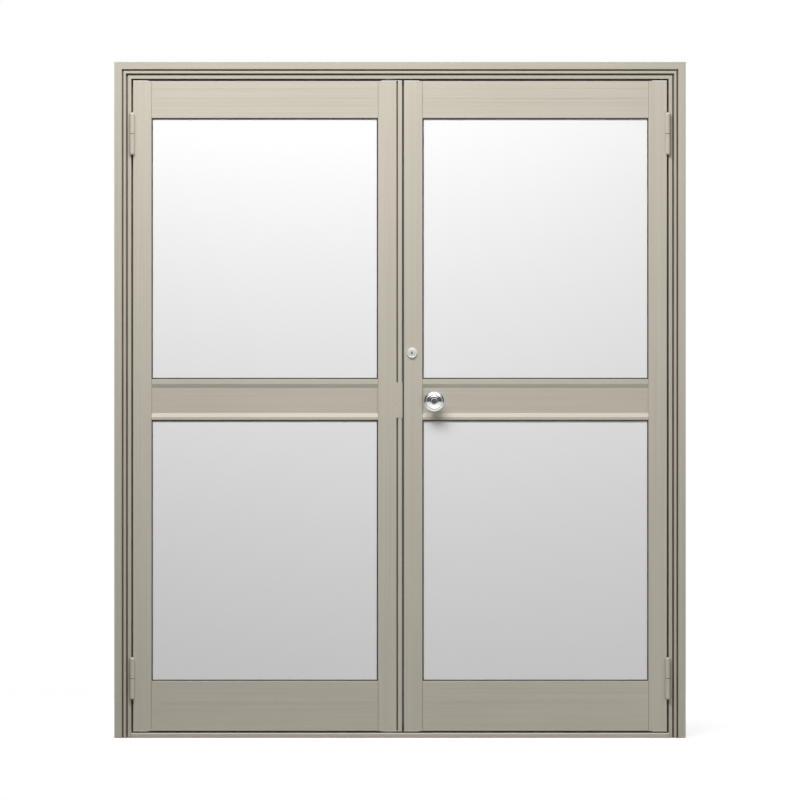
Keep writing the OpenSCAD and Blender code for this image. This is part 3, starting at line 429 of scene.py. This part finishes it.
def rose_outline(r, h, bore):
    """A disc with a flat rim, a hollow cove and a raised lip round its bore."""
    return np.concatenate([
        line((bore, 0), (r, 0), (r, 1.2)), arc(r - 1.0, 1.4, 1.0, 0, 90, 6),
        arc(r - 1.6, h - 1.0, h - 3.4, 270, 190, 10)[1:], arc(r - h + 1.2, h - 1.2, 1.2, 20, 90, 6),
        line((bore + 1.2, h), (bore + 0.4, h - 0.3), (bore, h - 0.7))])


chrome, satin = finishes["knob_chrome", "any"], finishes["lock_chrome", "any"]
for name, node, seat, axis in (("outer_rose_turned", "outer_rose", knob_front, OUT),
                               ("inner_rose_turned", "inner_rose", knob_back, IN)):
    rose = build(name, [(turned(rose_outline(ROSE_R, ROSE_H, NECK_R + 0.06), seat, axis), True)],
                 chrome, "right_leaf")
    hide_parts(node)

# %% Knobs
KNOB_R, KNOB_L, SHOULDER_R = 24.5, 60.0, 7.5
PLUG_BORE, PLUG_DEEP = 7.05, 28.1  # the hole for the key plug in the outer knob
BUTTON_BORE, BUTTON_DEEP = 6.05, 20.1  # the hole for the turn button in the inner knob


def knob_outline(hole, depth, root):
    """Neck, flare, barrel and front of a knob: hole is its front bore, depth how far that goes, and root
    the bore behind it. With d from 1 at the shoulder to 0 at the bore, the front's radius grows evenly
    with d and its height is KNOB_L - 1 - 2.2 * d^2."""
    flare = KNOB_R - NECK_R
    dome = np.linspace(1, 0, 14)
    top = np.stack([hole + 2.4 + dome * (KNOB_R - SHOULDER_R - hole - 2.4),
                    KNOB_L - 1.0 - 2.2 * dome ** 2], axis=1)
    return np.concatenate([
        line((root, 0), (NECK_R, 0), (NECK_R, 14)), arc(NECK_R + flare, 21, flare, 180, 112, 16)[1:],
        arc(KNOB_R - 2.5, 37.3, 2.5, -70, 0, 8), line((KNOB_R, 42), (KNOB_R, 49)),
        arc(KNOB_R - SHOULDER_R, 49.3, SHOULDER_R, 5, 82, 18), top[1:],
        arc(hole + 1.6, KNOB_L - 0.8, 0.8, 90, 180, 6),
        line((hole, KNOB_L - 2), (hole, KNOB_L - depth), (root, KNOB_L - depth))])


TAIL_BORE, SPINDLE_R = 3.4, 7.0
spindle_l = (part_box("outer_knob")[1].y - knob_front.y) / MM
spindle = line((TAIL_BORE, -spindle_l), (SPINDLE_R, -spindle_l), (SPINDLE_R, 0), (TAIL_BORE, 0))
outer = [(turned(knob_outline(PLUG_BORE, PLUG_DEEP, TAIL_BORE), knob_front, OUT), True),
         (turned(spindle, knob_front, OUT), True)]
knob = build("outer_knob_turned", outer, chrome, "knobs")
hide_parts("outer_knob")
inner = turned(knob_outline(BUTTON_BORE, BUTTON_DEEP, SPINDLE_R + 0.02), knob_back, IN)
knob = build("inner_knob_turned", [(inner, True)], chrome, "knobs")
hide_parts("inner_knob")

# %% The deadlock's ring and inside rose
RING_R, RING_H, LOCK_ROSE_H = 15.25, 7.0, 4.0
LOCK_BODY_R = 12.0
leaf_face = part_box("right_meeting_stile")[0].y
lock_front = centre_of("deadlock_cylinder")
lock_front.y = leaf_face
body_l = (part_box("deadlock_cylinder")[1].y - leaf_face) / MM


def ring_outline(r, h, bore):
    """A collar with a rounded shoulder, a shallow dished front and a small lip at its bore. With d from 1
    at the shoulder to 0 at the bore, the front's height is h - 0.9 * (1 - d^2)."""
    dish = np.linspace(1, 0, 8)
    front = np.stack([bore + 1.8 + dish * (r - 3.4 - bore - 1.8), h - 0.9 * (1 - dish ** 2)], axis=1)
    return np.concatenate([line((r, 0), (r, h - 3.4)), arc(r - 3.4, h - 3.4, 3.4, 0, 90, 12)[1:], front[1:],
                           line((bore + 0.5, h - 0.9), (bore, h - 1.3))])


cylinder = np.concatenate([line((PLUG_BORE, -body_l), (LOCK_BODY_R, -body_l), (LOCK_BODY_R, 0)),
                           ring_outline(RING_R, RING_H, PLUG_BORE)])
lock_back = Vector((lock_front.x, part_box("deadlock_rose")[0].y, lock_front.z))
plate = np.concatenate([line((BUTTON_BORE, 0)), ring_outline(RING_R, LOCK_ROSE_H, BUTTON_BORE)])
for name, node, outline, seat, axis in (
        ("deadlock_ring_turned", "deadlock_cylinder", cylinder, lock_front, OUT),
        ("deadlock_rose_turned", "deadlock_rose", plate, lock_back, IN)):
    piece = build(name, [(turned(outline, seat, axis), True)], satin, "right_leaf")
    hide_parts(node)

# %% [markdown]
# ## Keyway
# The deadlock's keyway shows as a small dark oval disc on the plug's face. It is painted shade that stands
# in for the dark slot of the keyway. It is a very flat disc, turned like the rest and then narrowed across.
# The knob's plug has none: its face is already the foremost point of the door, and nothing may stand in
# front of that.

# %% Keyway's painted shade
SHADE_DISC_R, NARROW, SHADE_DISC_PROUD = 4.4, 0.5, 0.12


def keyway_shade_disc(node):
    """A disc on the front of a node's box, with x = centre + NARROW * (x - centre)."""
    seat = centre_of(node)
    seat.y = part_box(node)[0].y
    rim = SHADE_DISC_R - 0.2
    outline = line((0.05, -0.3), (SHADE_DISC_R, -0.3), (SHADE_DISC_R, 0.05),
                   (rim, SHADE_DISC_PROUD), (0.05, SHADE_DISC_PROUD))
    points = turned(outline, seat, OUT, 40)
    points[..., 0] = seat.x + NARROW * (points[..., 0] - seat.x)
    return points


# A dark disc on the deadlock's plug: painted shade for the keyway's slot.
build("deadlock_keyway_painted_shade", [(keyway_shade_disc("deadlock_key_plug"), False)], finishes["washer_plastic", "any"],
      "deadlock_turning")

# %% [markdown]
# ## Hinge ends and washers
# The barrels end in tall domes, and a dark washer with a rounded rim shows between the two halves. Both
# are turned about the pins, so the pins' box gives their places: its corners are a pin's radius and half
# a pin's length away from the joints.

# %% Domes and washers on the hinges
PIN_R, PIN_HALF = 4.0, 46.0
KNUCKLE, BARREL, DOME, SUNK = 60.0, 7.56, 6.6, 3.6  # a dome starts SUNK inside its knuckle's end
pins_low, pins_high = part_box("hinge_pins")
hinge_x = pins_high.x - PIN_R * MM
hinge_y = (pins_low.y + pins_high.y) / 2
joints_z = (pins_low.z + PIN_HALF * MM, pins_high.z - PIN_HALF * MM)


def dome_outline():
    """Radius = BARREL * cos t and height = base + DOME * sin t, for t from 0 to nearly a right angle."""
    t = np.linspace(0, math.pi / 2 * 0.995, 16)
    base = KNUCKLE - SUNK
    curve = np.stack([BARREL * np.cos(t), base + DOME * np.sin(t)], axis=1)
    return np.concatenate([line((0.05, base)), curve])


UP, DOWN = (0, 0, 1), (0, 0, -1)
dome = dome_outline()
for body, sides, axis in (("left_leaf", (-1,), UP), ("right_leaf", (1,), UP), ("frame", (-1, 1), DOWN)):
    domes = [(turned(dome, (side * hinge_x, hinge_y, z), axis, 48), False)
             for side in sides for z in joints_z]
    build(f"{body}_hinge_domes", domes, finishes["hinge_metal", "any"], body)
washer = np.concatenate([line((4.4, -0.75)), arc(6.75, 0, 0.75, -90, 90, 9), line((4.4, 0.75))])
washers = [(turned(washer, (side * hinge_x, hinge_y, z), UP, 48), True)
           for side in (-1, 1) for z in joints_z]
rings = build("hinge_washers_turned", washers, finishes["washer_plastic", "any"], "frame")
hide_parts("hinge_washers")

# %% [markdown]
# ## Screw heads
# Screws are small, but a plate without them looks unfinished. A head is a shallow dome whose height
# drops inside a cross: the cross is a sum of two soft-edged slots in polar coordinates. The same grid
# serves every screw, so the piece stays light.

# %% Cross-headed screws
def screw_head(centre, axis, r=3.2, proud=0.5, around=40):
    """A dome of radius r: height = proud * (1 - (rho / r)^2), less a cross of slots that fade at the rim."""
    rho = np.linspace(0.04, 1.0, 12)[:, None] * r
    a = np.linspace(0, 2 * math.pi, around, endpoint=False)[None, :]
    x, y = rho * np.cos(a), rho * np.sin(a)
    narrow = np.minimum(np.abs(x), np.abs(y))
    slot = np.clip((0.55 - narrow) / 0.25, 0, 1) * np.clip((r * 0.62 - rho) / 0.4, 0, 1)
    height = proud * (1 - (rho / r) ** 2) - 0.9 * slot
    w = np.array(axis, float)
    u = np.cross(w, [0.0, 0.0, 1.0])
    v = np.cross(w, u)
    top = x[..., None] * u + y[..., None] * v + height[..., None] * w
    foot = (top[-1:] - height[-1:, :, None] * w) - 1.2 * w
    return np.array(centre) + np.concatenate([top, foot, foot * 0.05 - 1.14 * w]) * MM, False


def on_face(node, axis, spots):
    """Screw heads on the face of a node's box that looks along an x or y axis, at (across, z) spots."""
    low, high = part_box(node)
    side = low if sum(axis) < 0 else high
    if axis[0]:
        return [screw_head((side.x, across, z), axis) for across, z in spots]
    return [screw_head((across, side.y, z), axis) for across, z in spots]


def above_and_below(centre, middle_z, apart):
    """Two spots on an upright line, apart on either side of its middle."""
    return [(centre, middle_z - apart * MM), (centre, middle_z + apart * MM)]


PLATE_IN, CASE_SCREWS = 70.0, 62.0  # a flush bolt's middle from its case's end, and its screws from there
steel = finishes["lock_steel", "any"]
latch_spots = above_and_below(centre_of("latch_bolt").y, knob_front.z, 21)
deadlock_spots = above_and_below(centre_of("deadbolt").y, lock_front.z, 26)
faceplates = on_face("latch_case", (-1, 0, 0), latch_spots)
faceplates += on_face("deadlock_case", (-1, 0, 0), deadlock_spots)
build("faceplate_screws", faceplates, steel, "right_leaf")
bolt_y = centre_of("latch_bolt").y
strike_spots = above_and_below(bolt_y, knob_front.z, 25) + above_and_below(bolt_y, lock_front.z, 22)
build("strike_screws", on_face("strikes", (1, 0, 0), strike_spots), steel, "left_leaf")
cases_low, cases_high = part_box("flush_bolt_cases")
bolt_x = centre_of("top_flush_bolt").x
middles = cases_low.z + PLATE_IN * MM, cases_high.z - PLATE_IN * MM
bolt_spots = [(bolt_x, z + side * CASE_SCREWS * MM) for side in (-1, 1) for z in middles]
case_screws = on_face("flush_bolt_cases", (0, 1, 0), bolt_spots)
build("flush_bolt_screws", case_screws, steel, "left_leaf")

# %% [markdown]
# ## Gaskets and seals
# A glazing gasket is one rubber bar mitred at its four corners, with a rounded lip that presses on the
# pane. So its surface is one small outline carried round a rectangle: each outline point is an inset
# from the edge and a depth, and the four corners share it. The frame's seals are hollow bulbs in short
# lengths, so theirs is the outline carried in a straight line and capped.

# %% Gaskets round the panes
def mitred(outline, low, high, y):
    """The rectangle low..high inset by each outline point, at depth y plus that point's own depth."""
    inset, depth = outline[:, 0] * MM, outline[:, 1] * MM
    x = np.stack([low[0] + inset, high[0] - inset, high[0] - inset, low[0] + inset], axis=1)
    z = np.stack([low[1] + inset, low[1] + inset, high[1] - inset, high[1] - inset], axis=1)
    return np.stack([x, np.repeat(y + depth[:, None], 4, axis=1), z], axis=-1)


def lip_outline(width, thick, turn):
    """A bar width across and thick deep, whose free edge is a rounded lip with a small step before it."""
    bar = np.concatenate([line((0, 0), (width - 4.2, 0), (width - 3.9, 0.5)),
                          arc(width - thick / 2.4, thick * 0.52, thick * 0.40, 250, 400, 10),
                          line((width - 2.4, thick), (0, thick))])
    if turn:
        bar[:, 1] = thick - bar[:, 1]
    return bar


GASKET_HOLD, GASKET_SHOW = 6.0, 3.6
rubber = finishes["rubber", "any"]
for leaf in ("left", "right"):
    shells = []
    for pane in ("upper_glass", "lower_glass"):
        low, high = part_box(f"{leaf}_{pane}")
        edge = 0.5 * MM
        corners = (low.x + edge, low.z + edge), (high.x - edge, high.z - edge)
        outer_t = (low.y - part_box(f"{leaf}_gaskets")[0].y) / MM
        inner_t = (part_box(f"{leaf}_gaskets")[1].y - high.y) / MM
        width = GASKET_HOLD + GASKET_SHOW
        shells.append((mitred(lip_outline(width, outer_t, False), *corners, low.y - outer_t * MM), True))
        shells.append((mitred(lip_outline(width, inner_t, True), *corners, high.y), True))
    gasket = build(f"{leaf}_gaskets_moulded", shells, rubber, f"{leaf}_leaf", 30.0)
    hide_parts(f"{leaf}_gaskets")

# %% Bulb seals on the stops
def straight(outline, start, run, across, deep):
    """The outline in the (across, deep) plane at start, and the same again after run; capped."""
    side, depth = outline[:, 0, None] * MM, outline[:, 1, None] * MM
    flat = side * np.array(across, float) + depth * np.array(deep, float)
    return np.array(start) + np.stack([flat, flat + np.array(run)]), False


def bulb_outline(width, tall):
    """A flat foot of the given width with a round bulb standing on it, tall altogether."""
    r = min(width / 2, tall / 2) * 0.98
    return np.concatenate([line((-width / 2, 0), (-width / 2, 0.8), (-r * 0.75, 1.3)),
                           arc(0, tall - r, r, 205, -25, 18),
                           line((r * 0.75, 1.3), (width / 2, 0.8), (width / 2, 0))])


seal_low, seal_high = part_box("frame_seals")
stop_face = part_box("frame_stops")[0].y
SEAL_W = 7.0
SIDE_START, LEVEL_IN = 9 * MM, 8 * MM  # how far in the upright and the level lengths start
bulb = bulb_outline(SEAL_W, (stop_face - seal_low.y) / MM)
half = SEAL_W / 2 * MM
rise = (0, 0, seal_high.z - seal_low.z - SIDE_START)
reach = (seal_high.x - seal_low.x - 2 * LEVEL_IN, 0, 0)
seals = [straight(bulb, (x, stop_face, seal_low.z + SIDE_START), rise, (1, 0, 0), OUT)
         for x in (seal_low.x + half, seal_high.x - half)]
seals += [straight(bulb, (seal_low.x + LEVEL_IN, stop_face, z), reach, (0, 0, 1), OUT)
          for z in (seal_high.z - half, seal_low.z + half)]
seal = build("frame_seals_moulded", seals, rubber, "frame")
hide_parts("frame_seals")

# %% Seals on the meeting edges
low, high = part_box("meeting_seal")
strip_edge, strike_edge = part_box("meeting_strip")[1].x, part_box("strikes")[1].x
stile_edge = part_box("right_meeting_stile")[0].x
LIP_GAP = 0.2 * MM
GUARD_H, GUARD_UP = 105.0, 3.3  # the latch's guard plate is that tall, its middle that far above the knob
guard_low = knob_front.z + (GUARD_UP - GUARD_H / 2) * MM
guard_high = guard_low + GUARD_H * MM
lip_y = (low.y + high.y) / 2


def lip_length(foot, tip, z0, z1, way):
    """A soft lip from the face at x = foot to x = tip, between two heights; way is its direction."""
    fin = bulb_outline((high.y - low.y) / MM, abs(tip - foot) / MM)
    return straight(fin, (foot, lip_y, z0), (0, 0, z1 - z0), IN, (way, 0, 0))


lips = [lip_length(strip_edge, high.x, low.z, guard_low, 1),
        lip_length(strike_edge, high.x, guard_low, guard_high, 1),
        lip_length(strip_edge, high.x, guard_high, high.z, 1)]
meeting = build("meeting_seal_moulded", lips, rubber, "left_leaf")
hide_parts("meeting_seal")
facing_lip = lip_length(stile_edge, high.x + LIP_GAP, low.z, high.z, -1)
facing = build("stile_seal_moulded", [facing_lip], rubber, "right_leaf")
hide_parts("right_gaskets")

# %% [markdown]
# ## Painted shade in the grooves
# The frame's face has two grooves that run up both jambs and across the head, and the meeting strip has
# one. Each holds a thin dark brown strip with a low crown: painted shade, so that the grooves read as dark
# lines. In this model each holds a thin brown infill with a low crown, so that they read as dark lines.

# %% Painted shade strips in the grooves
GROOVES = ((24.5, 4.6, 9.5), (37.0, 5.6, 13.0))  # middle from the frame's edge, painted shade strip's width, depth
STRIP_GROOVE = (2.25, 4.1, 8.0)  # the same for the meeting strip
CROWN, EDGE = 1.2, 0.3  # a painted shade strip's height in the middle and at its edges


def crowned(width):
    """A strip's outline, flat below. Its top is EDGE + (CROWN - EDGE) * sqrt(1 - (2x / width)^2) high."""
    a = np.radians(np.linspace(0, 180, 9))
    crown = np.stack([width / 2 * np.cos(a), EDGE + (CROWN - EDGE) * np.sin(a)], axis=1)
    return np.concatenate([line((-width / 2, 0), (width / 2, 0)), crown])


left_side, right_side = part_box("frame_jamb_left")[0].x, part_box("frame_jamb_right")[1].x
top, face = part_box("frame_head")[1].z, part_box("frame_head")[0].y
strips = []
for inset, width, depth in GROOVES:
    inset, half, floor_y = inset * MM, width / 2 * MM, face + depth * MM
    rise = (0, 0, top - (inset - half))
    for x in (left_side + inset, right_side - inset):
        strips.append(straight(crowned(width), (x, floor_y, 0.0), rise, (1, 0, 0), OUT))
    reach = (right_side - left_side - 2 * (inset + half), 0, 0)
    start = (left_side + inset + half, floor_y, top - inset)
    strips.append(straight(crowned(width), start, reach, (0, 0, 1), OUT))
# The frame's grooves: dark strips of painted shade.
build("frame_groove_shade_strips", strips, groove_shade, "frame")
low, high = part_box("meeting_strip")
inset, width, depth = STRIP_GROOVE
start = (low.x + inset * MM, low.y + depth * MM, low.z)
strip = straight(crowned(width), start, (0, 0, high.z - low.z), (1, 0, 0), OUT)
# The meeting strip's groove: a dark strip of painted shade.
build("strip_groove_shade_strip", [strip], groove_shade, "left_leaf")

# %% [markdown]
# ## The joints between rails and stiles
# Where a rail meets a stile the fabricator squeezes a hairline of grey sealant. It is half a millimetre
# wide and stands 0.06 mm proud, so it reads as a fine dark line. Each is a slim box on the joint.

# %% Hairlines of sealant
HAIR, PROUD, BEDDED = 0.55 * MM, 0.06 * MM, 0.3 * MM  # a hairline's width, and its depth out and in
TRIM = 1.5 * MM  # it stops short of a rail's edge on the face
LOWER_LIP, UPPER_LIP = 8.0 * MM, 14.0 * MM  # the middle rail's lips, which are flush with the stiles
BEAD = 12.0 * MM  # on the back, the beads cover the rails' edges beside the panes


def hair_spans(rail, front, low, high):
    """The heights between which a rail's joint shows, as (lower, upper) pairs."""
    if front and rail == "mid_rail":
        return [(low + TRIM, low + LOWER_LIP), (high - UPPER_LIP, high - TRIM)]
    if front:
        return [(low + TRIM, high - TRIM)]
    return [(low + (0 if rail == "bottom_rail" else BEAD), high - (0 if rail == "top_rail" else BEAD))]


def hairline(x, y0, y1, z0, z1):
    """A box HAIR wide about x, between the two depths and the two heights."""
    corners = np.array([(x - HAIR / 2, y0), (x + HAIR / 2, y0), (x + HAIR / 2, y1), (x - HAIR / 2, y1)])
    return np.stack([np.column_stack([corners, np.full(4, z)]) for z in (z0, z1)]), False


for leaf in ("left", "right"):
    face_y, back_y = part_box(f"{leaf}_top_rail")[0].y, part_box(f"{leaf}_top_rail")[1].y
    stiles = sorted((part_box(f"{leaf}_{n}_stile") for n in ("hinge", "meeting")), key=lambda b: b[0].x)
    hairs = []
    for rail in ("top_rail", "mid_rail", "bottom_rail"):
        low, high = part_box(f"{leaf}_{rail}")
        for front, x in ((True, stiles[0][1].x), (True, stiles[1][0].x), (False, low.x), (False, high.x)):
            depths = (face_y - PROUD, face_y + BEDDED) if front else (back_y - BEDDED, back_y + PROUD)
            hairs += [hairline(x, *depths, *span) for span in hair_spans(rail, front, low.z, high.z)]
    build(f"{leaf}_joint_sealant", hairs, sealant, f"{leaf}_leaf")

# %% [markdown]
# ## Floor, world and lights
# A door like this is shown in a white studio. One large soft light hangs above and in front, so the top
# of the door is the brightest and it falls off towards the floor. A weak one fills the right side and
# another lights the back. The world is white to the camera; polished metal sees a dimmer room above the
# horizon than below it, with a bright ceiling, because a knob looks like metal only when it has something
# dark to reflect.

# %% Floor
FLOOR_HALF, FADED, FADE = 3.5, 3.4, 0.6  # half its side, the radius where it is gone, and how fast it goes
FLOOR_DROP = 0.0005
ACROSS_FLOOR = 8  # points along a side


def floor_finish():
    """Pale and slightly lit from within. Its alpha is (FADED - r) * FADE, held to 0..1, so it fades out."""
    f = Finish("pale_floor", Metallic=0.0)
    dust = f.noise(3.0, detail=3.0)
    f.set("Base Color", f.blend(0.5 + dust * 0.5, (0.86, 0.86, 0.86), (0.90, 0.90, 0.90)))
    f.set("Roughness", 0.7 + dust * 0.1)
    f.set("Emission Color", (1.0, 1.0, 1.0))
    f.set("Emission Strength", 0.40)
    radius = f.node("ShaderNodeVectorMath", {"operation": "LENGTH"},
                    {0: f.node("ShaderNodeTexCoord", out="Object")}, out="Value")
    f.set("Alpha", f.node("ShaderNodeMath", {"operation": "MULTIPLY", "use_clamp": True},
                          {0: FADED - radius, 1: FADE}))
    return f.material


side = np.linspace(-FLOOR_HALF, FLOOR_HALF, ACROSS_FLOOR)
x, y = np.meshgrid(side, side, indexing="ij")
points = np.stack([x, y, np.full_like(x, -FLOOR_DROP)], axis=-1).reshape(-1, 3)
number = np.arange(ACROSS_FLOOR ** 2).reshape(ACROSS_FLOOR, ACROSS_FLOOR)
quads = np.stack([number[:-1, :-1], number[1:, :-1], number[1:, 1:], number[:-1, 1:]], axis=-1)
mesh = bpy.data.meshes.new("floor")
mesh.from_pydata(points.tolist(), [], quads.reshape(-1, 4).tolist())
mesh.materials.append(floor_finish())
floor = bpy.data.objects.new("floor", mesh)
bpy.context.collection.objects.link(floor)
floor.visible_diffuse = False
print("floor:", 2 * FLOOR_HALF, "m across")

# %% World
world = bpy.data.worlds.new("studio")
bpy.context.scene.world = world
world.use_nodes = True
tree = world.node_tree
tree.nodes.clear()
ROOM = 0.12  # light from all round, on plain surfaces
FLOOR_SEEN, WALL_SEEN, CEILING_SEEN = 0.9, 0.12, 2.6  # what polished metal sees around it


def world_node(kind, inputs=None, **settings):
    """Adds one node to the world, with its settings and its sockets' values or links."""
    made = tree.nodes.new(kind)
    for key, value in settings.items():
        setattr(made, key, value)
    for key, value in (inputs or {}).items():
        if isinstance(value, bpy.types.NodeSocket):
            tree.links.new(value, made.inputs[key])
        else:
            made.inputs[key].default_value = value
    return made


# The height of the direction looked in goes from -1, straight down, to 1, straight up.
rays = world_node("ShaderNodeLightPath")
direction = world_node("ShaderNodeTexCoord")
height = world_node("ShaderNodeSeparateXYZ", {0: direction.outputs["Generated"]})
lower = world_node("ShaderNodeMapRange", {"Value": height.outputs["Z"], "From Min": -0.14, "From Max": -0.02,
                                          "To Min": FLOOR_SEEN, "To Max": WALL_SEEN})
above = world_node("ShaderNodeMapRange", {"Value": height.outputs["Z"], "From Min": 0.45, "From Max": 0.75,
                                          "To Min": 0.0, "To Max": CEILING_SEEN - WALL_SEEN})
room = world_node("ShaderNodeMath", {0: lower.outputs[0], 1: above.outputs[0]}, operation="ADD")
glossy = world_node("ShaderNodeMix", {0: rays.outputs["Is Glossy Ray"], 2: ROOM, 3: room.outputs[0]})
seen = world_node("ShaderNodeMix", {0: rays.outputs["Is Camera Ray"], 2: glossy.outputs[0], 3: 1.0})
sky = world_node("ShaderNodeBackground", {"Color": (1.0, 1.0, 1.0, 1.0), "Strength": seen.outputs[0]})
world_node("ShaderNodeOutputWorld", {"Surface": sky.outputs[0]})
print("world nodes:", len(tree.nodes))

# %% Lights
def soft_light(name, place, aim, size, power):
    """A rectangular light at a place, turned towards aim, size metres on its sides, power in watts.
    Polished metal does not mirror it, since the bright ceiling already stands for it."""
    data = bpy.data.lights.new(name, "AREA")
    data.shape, data.size, data.size_y, data.energy = "RECTANGLE", size[0], size[1], power
    light = bpy.data.objects.new(name, data)
    bpy.context.collection.objects.link(light)
    light.location = place
    light.visible_glossy = False
    light.rotation_euler = (Vector(aim) - Vector(place)).to_track_quat("-Z", "Y").to_euler()
    print(f"{name} light: {power} W at {place}")


soft_light("key", (-0.55, -2.4, 3.7), (0.0, 0.0, 1.3), (2.4, 1.2), 140.0)
soft_light("fill", (2.0, -3.4, 0.9), (0.0, 0.0, 0.6), (1.6, 1.6), 26.0)
soft_light("back", (0.8, 3.4, 3.2), (0.0, 0.0, 1.0), (2.4, 1.6), 90.0)
